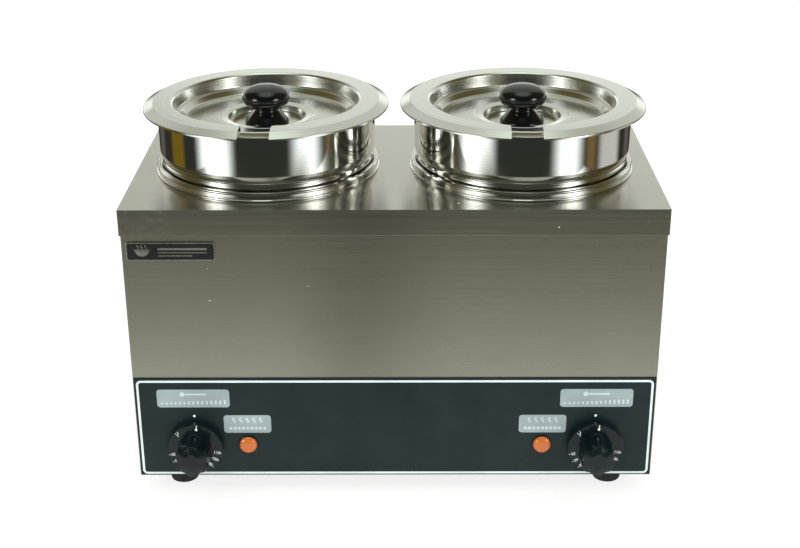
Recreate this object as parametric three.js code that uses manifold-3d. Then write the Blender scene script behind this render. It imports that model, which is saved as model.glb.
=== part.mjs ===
// Twin soup kettle: two lidded round pots stand in two electrically heated water wells,
// all in one counter-top casing.
// Millimetres. +X is to the right seen from the front, +Y runs to the back, +Z is up.
// The origin is on the counter, under the middle of the overall box.
import * as THREE from "three";
import { mergeVertices } from "three/addons/utils/BufferGeometryUtils.js";
import Module from "manifold-3d";

const wasm = await Module();
wasm.setup();

// ---- Driving dimensions ----
const gap = 0.3; // clearance left between pieces that touch
const sheet = 1; // stainless sheet of the casing and deck

const potSize = { neckRadius: 100, shoulder: 6, wall: 1, height: 205, corner: 12 };
const potNeck = { start: 12.5, rim: 55 }; // both above the collar that the pot stands on
const potRim = { width: 2.6, height: 6.2, round: 1.2 };
const seat = { inset: 1.8, beadHeight: 4.6, beadDip: 0.7 }; // bead that stands on the collar
const wellSize = { waterGap: 2.5, waterDepth: 16.6, wall: 1, corner: 14 };
const collar = { height: 8, width: 6.5, footWidth: 1, footHeight: 1, round: 2 };
const lidSize = { overhang: 10.4, wall: 1, drop: 6, edgeWidth: 8.5, edgeFall: 4.2, flangeWidth: 26 };
const lidSteps = { ledgeInset: 3.5, ledgeDepth: 12, discInset: 10, discDepth: 17.5, crown: 1.5 };
const dish = { rimRadius: 43, radius: 35.5, depth: 7, screwHole: 2.6 };
const notch = { width: 27.5, length: 30.5, depth: 9 }; // ladle slot, its length from the lid's edge in
const lidTurn = { left: -1, right: -2 }; // degrees that each lid is turned on its pot
const lidKnobSize = { height: 35.3, baseRadius: 20.4, neckRadius: 11, ballRadius: 22.6, neckHeight: 12.8 };
const lidScrewSize = { radius: 1.9, bite: 11, headRadius: 5, headHeight: 1.6 };
const spare = { betweenLids: 11, beside: 8.5, inFront: 9 }; // room round the lids, which sets the casing's plan
const casing = { height: 265, deckSkirt: 24, backReturn: 16, trayWall: 14 };
const feet = { height: 20, topRadius: 14, soleRadius: 12.6, insetX: 37.5, insetY: 32, boreRadius: 2.6 };
const footScrewSize = { radius: 2.2, headRadius: 4.5, headHeight: 3, recess: 9 };
const panel = { height: 101.5, sideInset: 2, thickness: 0.8 };
const badge = { width: 78, height: 17, thickness: 0.7, insetX: 4, underSkirt: 6 };
const controls = { fromSide: 55.5, lampPitch: 48.5, height: 33 }; // height is above the bottom of the casing
const stud = { radius: 3, length: 22 };
const heaterSize = { ringRadius: 58, tubeRadius: 4, pinSpread: 15, pinDrop: 26, bend: 7 };
const clampSize = { length: 138, width: 24, thickness: 2, nutHeight: 5 };
const bulb = { radius: 3.3, length: 84, bottom: 24, tubeRadius: 1.1 }; // bottom is above the well's floor
const clipSize = { tabReach: 9, height: 14 };
const thermostatSize = { width: 34, depth: 26, height: 30, bushWall: 0.9, bushProud: 0.9, bladeLength: 8 };
const shaftSize = { radius: 3, flat: 2.1, inside: 7 };
const dial = { skirtRadius: 25.6, standOff: 2, skirtDepth: 8, reach: 34, gripRadius: 15.8, tipScale: 0.985 };
const dialSocket = { fromTip: 10 };
const flutes = { count: 6, depth: 2.1, ridgeShare: 0.3 };
const lamp = { lensRadius: 8.8, lensReach: 5.2, bodyRadius: 5.9, bodyLength: 24, spigotRadius: 3.9 };
const gland = { fromSide: 90, height: 40, proud: 20, radius: 11, threadRadius: 8, boreRadius: 5, inside: 10 };
const block = { fromSide: 145, fromBack: 40, length: 54, depth: 24, height: 18, polePitch: 16 };
const earthPost = { fromSide: 62, fromBack: 68, radius: 2.5, height: 16, nutRadius: 5, washerHeight: 5 };
const backScrew = { radius: 1.9, headRadius: 4, headHeight: 2.4, inset: 8, low: 20, underDeck: 45, length: 6 };
const backVents = { count: 7, pitch: 9, length: 60, width: 4, fromSide: 130, height: 40 };
const floorVents = { columns: 5, pitchX: 62, rowOffset: 45, length: 44, width: 5 };
const wireRadius = 1.3;

// ---- Sizes, levels and places that follow ----
const rimOuter = potSize.neckRadius + potRim.width;
const bodyRadius = potSize.neckRadius - potSize.shoulder; // the pot below the deck
const seatRadius = potSize.neckRadius - seat.inset;
const wellRadius = bodyRadius + wellSize.waterGap;
const wellOuter = wellRadius + wellSize.wall;
const lidRadius = rimOuter + lidSize.overhang;
const flangeInner = lidRadius - lidSize.flangeWidth;
const wellX = lidRadius + spare.betweenLids / 2; // from the middle of the casing to each well
const casingWidth = 2 * (wellX + lidRadius + spare.beside);
const casingDepth = 2 * (lidRadius + spare.inFront);
const overallDepth = dial.reach + casingDepth + gland.proud;

const frontY = -overallDepth / 2 + dial.reach; // plane of the deck skirt's front and of the panel's face
const backY = frontY + casingDepth;
const baseZ = feet.height;
const deckZ = baseZ + casing.height;
const axisZ = baseZ + controls.height;
const wellY = frontY + casingDepth / 2;
const dialX = casingWidth / 2 - controls.fromSide;
const lampX = dialX - controls.lampPitch;
const wrapInset = sheet + gap; // the casing stands inside the deck's skirt
const wrapHalf = casingWidth / 2 - wrapInset;
const wrapFront = frontY + panel.thickness + gap;
const backPanelY = backY - sheet - gap; // outer face of the back panel, inside the deck's skirt
const returnY = backPanelY - sheet - gap; // outer face of the casing's back returns
const wrapTop = deckZ - sheet - gap;
const trayZ = baseZ + sheet; // the bottom plate's upper face

const collarTop = deckZ + gap + collar.height;
const seatZ = collarTop + gap; // underside of the pot's shoulder
const neckZ = seatZ + potNeck.start;
const potTop = seatZ + potNeck.rim;
const potFloorZ = potTop - potSize.height;
const wellFloorZ = potFloorZ - wellSize.waterDepth - wellSize.wall;
const flangeZ = potTop + gap + lidSize.wall; // top face of the lid's flange
const discZ = flangeZ - lidSteps.discDepth;
const dishZ = discZ + lidSteps.crown - dish.depth;
const lidKnobZ = dishZ + gap;
const heaterZ = wellFloorZ - gap - heaterSize.tubeRadius;
const pinY = wellY - Math.sqrt(heaterSize.ringRadius ** 2 - heaterSize.pinSpread ** 2);
const pinZ = heaterZ - heaterSize.pinDrop; // lower end of the heater's pins
const clampZ = heaterZ - heaterSize.tubeRadius - gap; // top face of the clamp bar
const bulbX = wellOuter + 2 * gap + bulb.radius; // bulb axis, measured from the well's axis towards the middle
const bushRadius = shaftSize.radius + gap + thermostatSize.bushWall;
const thermostatFront = wrapFront + sheet + gap;
const thermostatBack = thermostatFront + thermostatSize.depth;
const bladeEndY = thermostatBack + thermostatSize.bladeLength;
const bladeX = 8; // from the dial's axis to each of the thermostat's blades
const blockX = casingWidth / 2 - block.fromSide;
const blockY = backY - block.fromBack - block.depth; // front face of the terminal block
const earthX = casingWidth / 2 - earthPost.fromSide;
const earthY = backY - earthPost.fromBack;
const glandX = casingWidth / 2 - gland.fromSide;
const glandZ = baseZ + gland.height;

// ---- Materials ----
const steelColour = 0xb9b6ab;
const materials = {
  brushed: paint(steelColour, 0.38, 1),
  polished: paint(0xd4d2ca, 0.12, 1),
  panel: paint(0x16191a, 0.45, 0),
  badge: paint(0x101214, 0.35, 0.2),
  black: paint(0x0b0b0c, 0.18, 0),
  rubber: paint(0x1a1b1a, 0.75, 0),
  lens: paint(0xe0651c, 0.2, 0),
  zinc: paint(0xa9adae, 0.4, 1),
  brass: paint(0xc2a25a, 0.35, 1),
  copper: paint(0xb87b52, 0.3, 1),
  ceramic: paint(0xe6e1d3, 0.6, 0),
  heater: paint(0x4c4a46, 0.5, 0.8),
  live: paint(0x6b4226, 0.6, 0),
  neutral: paint(0x2d4f86, 0.6, 0),
  load: paint(0x9a1f1f, 0.6, 0),
  earth: paint(0x7f9a2c, 0.6, 0),
};

function paint(color, roughness, metalness) {
  return new THREE.MeshStandardMaterial({ color, roughness, metalness, flatShading: true });
}

// ---- Geometry helpers ----
// A closed three.js geometry as a manifold-3d solid, for joining and cutting.
function solid(geometry) {
  const loose = geometry.index ? geometry.toNonIndexed() : geometry;
  const bare = new THREE.BufferGeometry().setAttribute("position", loose.getAttribute("position"));
  const merged = mergeVertices(bare, 1e-3);
  const mesh = new wasm.Mesh({
    numProp: 3,
    vertProperties: merged.attributes.position.array,
    triVerts: new Uint32Array(merged.index.array),
  });
  return new wasm.Manifold(mesh);
}

function geometryOf(made) {
  const mesh = made.getMesh();
  const geometry = new THREE.BufferGeometry();
  geometry.setAttribute("position", new THREE.BufferAttribute(mesh.vertProperties, 3));
  geometry.setIndex(new THREE.BufferAttribute(mesh.triVerts, 1));
  return geometry;
}

function cut(body, ...tools) {
  return geometryOf(tools.reduce((left, tool) => left.subtract(solid(tool)), solid(body)));
}

function join(body, ...others) {
  return geometryOf(others.reduce((left, other) => left.add(solid(other)), solid(body)));
}

// A box from its lowest to its highest corner.
function box(x0, y0, z0, x1, y1, z1) {
  const geometry = new THREE.BoxGeometry(x1 - x0, y1 - y0, z1 - z0);
  return geometry.translate((x0 + x1) / 2, (y0 + y1) / 2, (z0 + z1) / 2);
}

// A profile of [radius, height] points turned about Z. It closes on itself, or starts and ends on the axis.
function turned(profile, segments = 32) {
  const area = profile.reduce((sum, [r, z], i) => {
    const [r2, z2] = profile[(i + 1) % profile.length];
    return sum + r * z2 - r2 * z;
  }, 0);
  const points = (area > 0 ? profile : [...profile].reverse()).map(([r, z]) => new THREE.Vector2(r, z));
  const onAxis = points[0].x === 0 && points[points.length - 1].x === 0;
  if (!onAxis) points.push(points[0].clone());
  return new THREE.LatheGeometry(points, segments).rotateX(Math.PI / 2);
}

// The same turned about Y, with heights running to the back.
function turnedAlongY(profile, segments) {
  return turned(profile, segments).rotateX(-Math.PI / 2);
}

function rod(radius, y0, y1, segments = 16) {
  return turnedAlongY([[0, y0], [radius, y0], [radius, y1], [0, y1]], segments);
}

function post(radius, z0, z1, segments = 16) {
  return turned([[0, z0], [radius, z0], [radius, z1], [0, z1]], segments);
}

function extruded(outline, depth) {
  const shape = new THREE.Shape(outline.map(([x, y]) => new THREE.Vector2(x, y)));
  return new THREE.ExtrudeGeometry(shape, { depth, bevelEnabled: false });
}

function arc(cx, cy, radius, from, to, steps) {
  return Array.from({ length: steps + 1 }, (_, i) => {
    const a = THREE.MathUtils.degToRad(from + ((to - from) * i) / steps);
    return [cx + radius * Math.cos(a), cy + radius * Math.sin(a)];
  });
}

function tube(points, radius, sides, steps) {
  const section = new THREE.Shape(arc(0, 0, radius, 0, 360 - 360 / sides, sides - 1)
    .map(([x, y]) => new THREE.Vector2(x, y)));
  const path = new THREE.CatmullRomCurve3(points.map((p) => new THREE.Vector3(...p)), false, "centripetal");
  return new THREE.ExtrudeGeometry(section, { steps, extrudePath: path, bevelEnabled: false });
}

// A slot with round ends, as a cutter through a sheet whose normal is Z.
function slotCutter(length, width, z0, z1) {
  const half = (length - width) / 2;
  const outline = [...arc(half, 0, width / 2, -90, 90, 3), ...arc(-half, 0, width / 2, 90, 270, 3)];
  return extruded(outline, z1 - z0).translate(0, 0, z0);
}

function place(geometry, x, y, z) {
  return geometry.translate(x, y, z);
}

function sidesOf(list) {
  return [-1, 1].flatMap((side) => list.map((item) => [side, item]));
}

// ---- Casing ----
function topDeck() {
  const half = casingWidth / 2;
  const shell = box(-half, frontY, deckZ - casing.deckSkirt, half, backY, deckZ);
  const inside = box(-half + sheet, frontY + sheet, deckZ - casing.deckSkirt - 1,
    half - sheet, backY - sheet, deckZ - sheet);
  const holes = [-1, 1].map((side) => place(post(wellOuter + 2 * gap, deckZ - 5, deckZ + 5, 48),
    side * wellX, wellY, 0));
  return cut(shell, inside, ...holes);
}

// Front and both sides in one folded sheet, with returns that the back panel screws to.
function bodyWrap() {
  const w = wrapHalf;
  const r = casing.backReturn;
  const outline = [
    [-w, wrapFront], [w, wrapFront], [w, returnY], [w - r, returnY], [w - r, returnY - sheet],
    [w - sheet, returnY - sheet], [w - sheet, wrapFront + sheet], [-w + sheet, wrapFront + sheet],
    [-w + sheet, returnY - sheet], [-w + r, returnY - sheet], [-w + r, returnY], [-w, returnY],
  ];
  const shell = extruded(outline, wrapTop - baseZ).translate(0, 0, baseZ);
  return cut(shell, ...controlHoles(wrapFront - 1, wrapFront + sheet + 1), ...backScrewHoles());
}

// Holes for the thermostat bushes and the lamps, between two planes.
function controlHoles(y0, y1) {
  return [-1, 1].flatMap((side) => [
    place(rod(bushRadius + gap, y0, y1), side * dialX, 0, axisZ),
    place(rod(lamp.bodyRadius + gap, y0, y1), side * lampX, 0, axisZ),
  ]);
}

function backScrewPlaces() {
  return sidesOf([baseZ + backScrew.low, deckZ - backScrew.underDeck])
    .map(([side, z]) => [side * (wrapHalf - backScrew.inset), z]);
}

function backScrewHoles() {
  return backScrewPlaces().map(([x, z]) => place(rod(backScrew.radius + gap, returnY - 5, backY, 8), x, 0, z));
}

function backPanel() {
  const plate = box(-wrapHalf, backPanelY - sheet, baseZ, wrapHalf, backPanelY, wrapTop);
  const vents = Array.from({ length: backVents.count }, (_, i) => {
    const slot = slotCutter(backVents.length, backVents.width, -5, 5).rotateX(Math.PI / 2);
    const z = baseZ + backVents.height + i * backVents.pitch;
    return place(slot, backVents.fromSide - casingWidth / 2, backPanelY, z);
  });
  const glandHole = place(rod(gland.threadRadius + gap, backPanelY - 5, backY, 24), glandX, 0, glandZ);
  return cut(plate, glandHole, ...vents, ...backScrewHoles());
}

function footPlaces() {
  return sidesOf([frontY + feet.insetY, backY - feet.insetY])
    .map(([side, y]) => [side * (casingWidth / 2 - feet.insetX), y]);
}

function bottomPlate() {
  const half = wrapHalf - sheet - gap;
  const y0 = wrapFront + sheet + gap;
  const y1 = returnY - sheet - gap;
  const tray = box(-half, y0, baseZ, half, y1, baseZ + casing.trayWall);
  const top = baseZ + casing.trayWall;
  const inside = box(-half + sheet, y0 + sheet, trayZ, half - sheet, y1 - sheet, top + 1);
  const hole = () => post(feet.boreRadius, baseZ - 1, baseZ + 3, 8);
  const screwHoles = footPlaces().map(([x, y]) => place(hole(), x, y, 0));
  const columns = Array.from({ length: floorVents.columns }, (_, i) => i - (floorVents.columns - 1) / 2);
  const vents = sidesOf(columns).map(([side, column]) => place(
    slotCutter(floorVents.length, floorVents.width, baseZ - 1, baseZ + 3),
    column * floorVents.pitchX, wellY + side * floorVents.rowOffset, 0,
  ));
  return cut(tray, inside, ...screwHoles, ...vents);
}

function controlPanel() {
  const half = casingWidth / 2 - panel.sideInset;
  const plate = box(-half, frontY, baseZ, half, frontY + panel.thickness, baseZ + panel.height);
  return cut(plate, ...controlHoles(frontY - 1, frontY + panel.thickness + 1));
}

function badgePlate() {
  const x0 = -wrapHalf + badge.insetX;
  const z1 = deckZ - casing.deckSkirt - badge.underSkirt;
  return box(x0, wrapFront - gap - badge.thickness, z1 - badge.height, x0 + badge.width, wrapFront - gap, z1);
}

// ---- Water well and its heater: heights are real, X and Y are from the well's axis ----
function well() {
  const { corner, wall } = wellSize;
  const outerRim = wellRadius + collar.width;
  const foot = outerRim + collar.footWidth;
  const under = collarTop - collar.round;
  const footTop = deckZ + gap + collar.footHeight;
  return turned([
    [0, wellFloorZ - stud.length], [stud.radius, wellFloorZ - stud.length], [stud.radius, wellFloorZ],
    [wellOuter - corner, wellFloorZ], [wellOuter, wellFloorZ + corner],
    [wellOuter, under], [outerRim - wall, under], [outerRim - wall, deckZ + gap],
    [foot, deckZ + gap], [foot, footTop], [outerRim, footTop],
    [outerRim, collarTop - collar.round], [outerRim - collar.round, collarTop],
    [wellRadius + collar.round, collarTop], [wellRadius, collarTop - collar.round],
    [wellRadius, wellFloorZ + wall + corner], [wellRadius - corner, wellFloorZ + wall], [0, wellFloorZ + wall],
  ]);
}

// Tubular element: one open ring under the well's floor, with both ends turned down as terminal pins.
function heater() {
  const { ringRadius, tubeRadius, pinSpread, bend } = heaterSize;
  const from = -90 + THREE.MathUtils.radToDeg(Math.asin((pinSpread + bend) / ringRadius));
  const ring = arc(0, 0, ringRadius, from, 180 - from, 14).map(([x, y]) => [x, y, heaterZ]);
  const y = pinY - wellY;
  const pin = (side) => [
    [side * (pinSpread + 0.3 * bend), y, heaterZ - 0.3 * bend],
    [side * pinSpread, y, heaterZ - bend], [side * pinSpread, y, pinZ],
  ];
  return tube([...pin(1).reverse(), ...ring, ...pin(-1)], tubeRadius, 6, 32);
}

function heaterClamp() {
  const { length, width, thickness } = clampSize;
  const bar = box(-length / 2, -width / 2, clampZ - thickness, length / 2, width / 2, clampZ);
  return cut(bar, post(stud.radius + gap, clampZ - thickness - 1, clampZ + 1));
}

function clampNut() {
  const top = clampZ - clampSize.thickness - gap;
  const bottom = top - clampSize.nutHeight;
  return cut(post(2 * stud.radius, bottom, top, 6), post(stud.radius + gap, bottom - 1, top + 1));
}

// Spring strip over the thermostat's bulb, spot welded to the well's wall on the side that faces +X.
function bulbClip() {
  const { tabReach, height } = clipSize;
  const foot = wellOuter + gap;
  const arch = bulb.radius + 2 * gap;
  const middle = wellFloorZ + bulb.bottom + bulb.length / 2;
  const outline = [
    [foot, -tabReach], [foot + sheet, -tabReach], [foot + sheet, -arch - sheet],
    ...arc(bulbX, 0, arch + sheet, -90, 90, 8),
    [foot + sheet, arch + sheet], [foot + sheet, tabReach], [foot, tabReach], [foot, arch],
    ...arc(bulbX, 0, arch, 90, -90, 8), [foot, -arch],
  ];
  return extruded(outline, height).translate(0, 0, middle - height / 2);
}

// ---- Pot and lid ----
function pot() {
  const { neckRadius: neck, wall, corner } = potSize;
  const body = bodyRadius;
  const beadZ = seatZ + seat.beadHeight;
  return turned([
    [0, potFloorZ], [body - corner, potFloorZ], [body - 3, potFloorZ + 4], [body, potFloorZ + corner],
    [body, seatZ], [seatRadius - 1, seatZ], [seatRadius, seatZ + 1.6], [seatRadius - seat.beadDip, beadZ],
    [neck - 0.8, beadZ + 4.5], [neck, neckZ], [neck, potTop - potRim.height],
    [rimOuter, potTop - potRim.height + potRim.round], [rimOuter, potTop - potRim.round],
    [rimOuter - potRim.round, potTop], [neck - wall, potTop], [neck - wall, neckZ],
    [neck - wall - 2, beadZ + 2.5], [body - wall, seatZ + wall], [body - wall, potFloorZ + corner],
    [body - corner, potFloorZ + wall], [0, potFloorZ + wall],
  ]);
}

// Points of the lid's upper face from the centre out; the lower face follows them one sheet below.
function lidFace() {
  const { edgeWidth, edgeFall, drop } = lidSize;
  const ledgeZ = flangeZ - lidSteps.ledgeDepth;
  const discRadius = flangeInner - lidSteps.discInset;
  return [
    [dish.screwHole, dishZ], [dish.radius - 1, dishZ], [dish.radius, dishZ + dish.depth],
    [dish.rimRadius, discZ + lidSteps.crown], [discRadius, discZ],
    [discRadius + 3.5, ledgeZ], [flangeInner - lidSteps.ledgeInset, ledgeZ], [flangeInner - 1.5, flangeZ - 1.5],
    [flangeInner, flangeZ], [lidRadius - edgeWidth, flangeZ], [lidRadius, flangeZ - edgeFall],
    [lidRadius, flangeZ - drop],
  ];
}

function lid() {
  const { wall, edgeWidth, edgeFall, drop } = lidSize;
  const face = lidFace();
  const under = face.slice(0, -3).map(([r, z]) => [r === dish.screwHole ? r : r + 0.35 * wall, z - wall]);
  const profile = [...face, [lidRadius - wall, flangeZ - drop],
    [lidRadius - wall, flangeZ - edgeFall - 0.6 * wall], [lidRadius - edgeWidth - 0.3 * wall, flangeZ - wall],
    ...under.reverse()];
  const { width, length, depth } = notch;
  const slot = box(-width / 2, -lidRadius - 5, flangeZ - depth, width / 2, length - lidRadius, flangeZ + 2);
  return cut(turned(profile), slot);
}

function lidKnob() {
  const { height, baseRadius, neckRadius, ballRadius, neckHeight } = lidKnobSize;
  const z = lidKnobZ;
  const bore = lidScrewSize.radius + gap;
  const ballHeight = height - neckHeight;
  const ball = [0.08, 0.24, 0.44, 0.66, 0.84, 0.95].map((share) => {
    const across = 2 * share - 1;
    return [ballRadius * Math.sqrt(1 - across ** 2), z + neckHeight + ballHeight * share];
  });
  return turned([
    [0, z + lidScrewSize.bite + 3], [bore, z + lidScrewSize.bite + 3], [bore, z], [baseRadius, z],
    [baseRadius - 0.4, z + 1.5], [neckRadius + 1.2, z + neckHeight - 2.6], [neckRadius, z + neckHeight],
    ...ball, [0, z + height],
  ], 24);
}

function lidScrew() {
  const under = dishZ - lidSize.wall - gap;
  const { radius, bite, headRadius, headHeight } = lidScrewSize;
  return turned([
    [0, under - headHeight], [headRadius - 1, under - headHeight], [headRadius, under - 1], [headRadius, under],
    [radius, under], [radius, lidKnobZ + bite], [0, lidKnobZ + bite],
  ], 10);
}

// ---- Controls: axis along Y through the local origin, Y is real ----
function thermostat() {
  const { width, depth, height, bushProud } = thermostatSize;
  const y0 = thermostatFront;
  const body = box(-width / 2, y0, -height / 2, width / 2, y0 + depth, height / 2);
  const bush = rod(bushRadius, frontY - bushProud, y0 + 1);
  const blades = [-1, 1].map((side) => box(side * bladeX - 3, thermostatBack - 1, 5.6,
    side * bladeX + 3, bladeEndY, 6.4));
  const bore = rod(shaftSize.radius + gap, frontY - bushProud - 1, y0 + shaftSize.inside + gap);
  return cut(join(body, bush, ...blades), bore);
}

// A round spindle with one flat, from the thermostat to the dial; `grow` makes the dial's socket of it.
function spindle(y0, y1, grow, segments) {
  const round = rod(shaftSize.radius + grow, y0, y1, segments);
  const flatZ = shaftSize.flat + grow;
  return cut(round, box(-5, y0 - 1, flatZ, 5, frontY - dial.standOff - 2, flatZ + 5));
}

function thermostatShaft() {
  return spindle(frontY - dial.reach + dialSocket.fromTip, thermostatFront + shaftSize.inside, 0, 14);
}

// Fluted grip, six lobes with one of them at the top.
function gripOutline() {
  const { count, depth, ridgeShare } = flutes;
  const half = [-0.5, -ridgeShare, 0, ridgeShare, 0.5, 0.75, 1, 1.25]; // 0 is a ridge, 1 the middle of a scoop
  return Array.from({ length: count }, (_, lobe) => half.map((phase) => {
    const turn = (Math.PI * (2 * lobe + phase)) / count;
    const fromScoop = Math.abs(1 - Math.abs(phase)) / (1 - ridgeShare);
    const r = dial.gripRadius - depth * Math.max(0, 1 - fromScoop ** 2);
    return [-r * Math.sin(turn), r * Math.cos(turn)];
  })).flat();
}

function dialKnob() {
  const { skirtRadius, standOff, skirtDepth, reach, tipScale } = dial;
  const y0 = frontY - standOff;
  const skirt = turnedAlongY([
    [0, y0 - skirtDepth - 0.6], [dial.gripRadius, y0 - skirtDepth - 0.6], [skirtRadius - 0.8, y0 - skirtDepth],
    [skirtRadius, y0 - skirtDepth + 0.8], [skirtRadius, y0 - 0.8], [skirtRadius - 0.8, y0], [0, y0],
  ], 28);
  const gripStart = y0 - skirtDepth + 1;
  const length = gripStart - (frontY - reach);
  const grip = extruded(gripOutline(), length);
  const points = grip.getAttribute("position");
  for (let i = 0; i < points.count; i += 1) {
    const shrink = 1 - (1 - tipScale) * (points.getZ(i) / length);
    points.setXY(i, points.getX(i) * shrink, points.getY(i) * shrink);
  }
  grip.rotateX(Math.PI / 2).translate(0, gripStart, 0);
  const socket = spindle(frontY - reach + dialSocket.fromTip - gap, y0 + 1, gap, 14);
  return cut(join(skirt, grip), socket);
}

function lampLens() {
  const y = frontY - gap;
  const { lensRadius: r, lensReach, spigotRadius } = lamp;
  return turnedAlongY([
    [0, y - lensReach], [0.45 * r, y - 0.95 * lensReach], [0.78 * r, y - 0.7 * lensReach],
    [0.95 * r, y - 0.38 * lensReach], [r, y],
    [spigotRadius + gap, y], [spigotRadius + gap, y - 2.5], [0, y - 2.5],
  ], 20);
}

function lampBody() {
  const { bodyRadius, bodyLength, spigotRadius } = lamp;
  const body = turnedAlongY([
    [0, frontY - 2.4], [spigotRadius, frontY - 2.4], [spigotRadius, frontY], [bodyRadius, frontY],
    [bodyRadius, frontY + bodyLength], [0, frontY + bodyLength],
  ], 16);
  const blades = [-1, 1].map((side) => box(side * 3 - 0.4, frontY + bodyLength - 1, -1.4,
    side * 3 + 0.4, frontY + bodyLength + 7, 1.4));
  return join(body, ...blades);
}

// ---- Feet, inlet and wiring ----
function foot() {
  const head = footScrewSize.headRadius + 1;
  const top = baseZ - gap;
  return turned([
    [head, 0], [feet.soleRadius, 0], [feet.soleRadius + 0.6, 0.8], [feet.topRadius - 0.3, 0.6 * top],
    [feet.topRadius, top], [feet.boreRadius, top], [feet.boreRadius, footScrewSize.recess],
    [head, footScrewSize.recess],
  ], 16);
}

function footScrew() {
  const seatHeight = footScrewSize.recess - gap;
  const { radius, headRadius, headHeight } = footScrewSize;
  const tip = baseZ + sheet + 5;
  return turned([
    [0, seatHeight - headHeight], [headRadius, seatHeight - headHeight], [headRadius, seatHeight],
    [radius, seatHeight], [radius, tip - 1], [0, tip],
  ], 8);
}

function backPanelScrew() {
  const { radius, headRadius, headHeight, length } = backScrew;
  const y = backPanelY + gap;
  return turnedAlongY([
    [0, y - length], [radius, y - length], [radius, y], [headRadius, y],
    [headRadius - 0.4, y + 0.6 * headHeight], [0.5 * headRadius, y + headHeight], [0, y + headHeight],
  ], 8);
}

// Rubber-lipped cable gland. The cable itself is not part of the model.
function cableGland() {
  const { radius, threadRadius, boreRadius, inside, proud } = gland;
  const face = backPanelY + gap;
  const end = backY + proud;
  return turnedAlongY([
    [boreRadius, face - inside], [threadRadius, face - inside], [threadRadius, face], [radius + 1.5, face],
    [radius + 1.5, face + 6], [radius, face + 6.5], [radius, end - 5], [0.72 * radius, end], [boreRadius, end],
  ], 20);
}

function glandNut() {
  const y1 = backPanelY - sheet - gap;
  const hexagon = rod(gland.threadRadius + 5, y1 - 4, y1, 6);
  return cut(hexagon, rod(gland.threadRadius + gap, y1 - 5, y1 + 1, 24));
}

function terminalBlock() {
  const { length, depth, height, polePitch } = block;
  const z0 = trayZ + gap;
  const body = box(blockX - length / 2, blockY, z0, blockX + length / 2, blockY + depth, z0 + height);
  const well = () => post(3.2, z0 + height - 8, z0 + height + 1, 8);
  const wells = [-1, 0, 1].flatMap((pole) => [0.27, 0.73].map((share) =>
    place(well(), blockX + pole * polePitch, blockY + share * depth, 0)));
  return cut(body, ...wells);
}

// Earth stud welded to the tray, with its nut run down onto the wire's eyelet.
function earthStud() {
  const z0 = trayZ + gap;
  const { radius, height, nutRadius, washerHeight } = earthPost;
  return turned([
    [0, z0], [nutRadius, z0], [nutRadius, z0 + washerHeight - 1], [radius, z0 + washerHeight],
    [radius, z0 + height - 1], [0, z0 + height],
  ], 10);
}

// Thermostat bulb on the well's wall and the capillary that joins it to the thermostat's back.
function capillary(side) {
  const inX = side * (wellX - bulbX);
  const bulbZ = wellFloorZ + bulb.bottom;
  const start = thermostatBack + gap;
  const line = tube([
    [side * dialX, start, axisZ - 8], [side * dialX, start + 4, axisZ - 8],
    [side * (dialX - 8.5), start + 18, axisZ - 17], [side * (wellX + 31.5), pinY + 4, trayZ + 12],
    [side * (wellX - 28.5), wellY - 24, trayZ + 24], [inX + side * 25, wellY - 6, wellFloorZ - 44],
    [inX, wellY, bulbZ - 28], [inX, wellY, bulbZ + 2],
  ], bulb.tubeRadius, 5, 24);
  const sensor = post(bulb.radius, bulbZ, bulbZ + bulb.length, 10).translate(inX, wellY, 0);
  return join(line, sensor);
}

// Each route starts and ends square to the terminal that it meets.
function wirePaths() {
  const poleZ = baseZ + 12;
  const low = trayZ + 6;
  const bladeZ = axisZ + 6;
  const spread = heaterSize.pinSpread;
  const liveX = blockX - block.polePitch;
  const atPole = (x) => [[x, blockY - gap, poleZ], [x, blockY - gap - 4, poleZ]];
  const atBlade = (x) => [[x, bladeEndY + gap + 4, bladeZ], [x, bladeEndY + gap, bladeZ]];
  const atPin = (x) => [[x, pinY, pinZ - gap], [x, pinY, pinZ - gap - 8]];
  const loadBend = (side) => [
    [side * (wellX + 39.5), pinY, bladeZ + 14], [side * (dialX + 5), bladeEndY + 18, bladeZ + 6],
  ];
  return {
    live_left: [...atPole(liveX - 2.2), [liveX - 6, blockY - 12, low], [blockX - 45, blockY - 30, low],
      [-60, pinY + 44, low], [34 - dialX, pinY + 9, low + 1], [bladeX - dialX, bladeEndY + 16, bladeZ - 14],
      ...atBlade(bladeX - dialX)],
    live_right: [...atPole(liveX + 2.2), [blockX - 5, blockY - 20, low + 2], [dialX - 34, pinY + 34, low + 2],
      [dialX - bladeX, bladeEndY + 18, bladeZ - 14], ...atBlade(dialX - bladeX)],
    neutral_left: [...atPole(blockX - 2.2), [blockX - 8, blockY - 16, low + 9],
      [blockX - 39, blockY - 24, low + 12], [-40, wellY + 16, low + 13], [26 - wellX, wellY - 30, pinZ - 34],
      ...atPin(spread - wellX).reverse()],
    neutral_right: [...atPole(blockX + 2.2), [blockX + 4, blockY - 20, low + 9],
      [blockX + 5, wellY - 22, pinZ - 46], ...atPin(wellX - spread).reverse()],
    load_left: [...atPin(-spread - wellX), ...loadBend(-1), ...atBlade(-bladeX - dialX)],
    load_right: [...atPin(spread + wellX), ...loadBend(1), ...atBlade(bladeX + dialX)],
    earth: [...atPole(blockX + block.polePitch), [blockX + 25, blockY - 14, low + 3],
      [blockX + 45, blockY - 20, low + 7], [earthX - 12, earthY, low + 4],
      [earthX - earthPost.radius - 1, earthY, baseZ + 9]],
  };
}

// ---- Assembly ----
const kettle = new THREE.Group();

function add(parent, name, geometry, material, x = 0, y = 0, z = 0) {
  const mesh = new THREE.Mesh(geometry, materials[material]);
  mesh.name = name;
  mesh.position.set(x, y, z);
  parent.add(mesh);
  return mesh;
}

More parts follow.
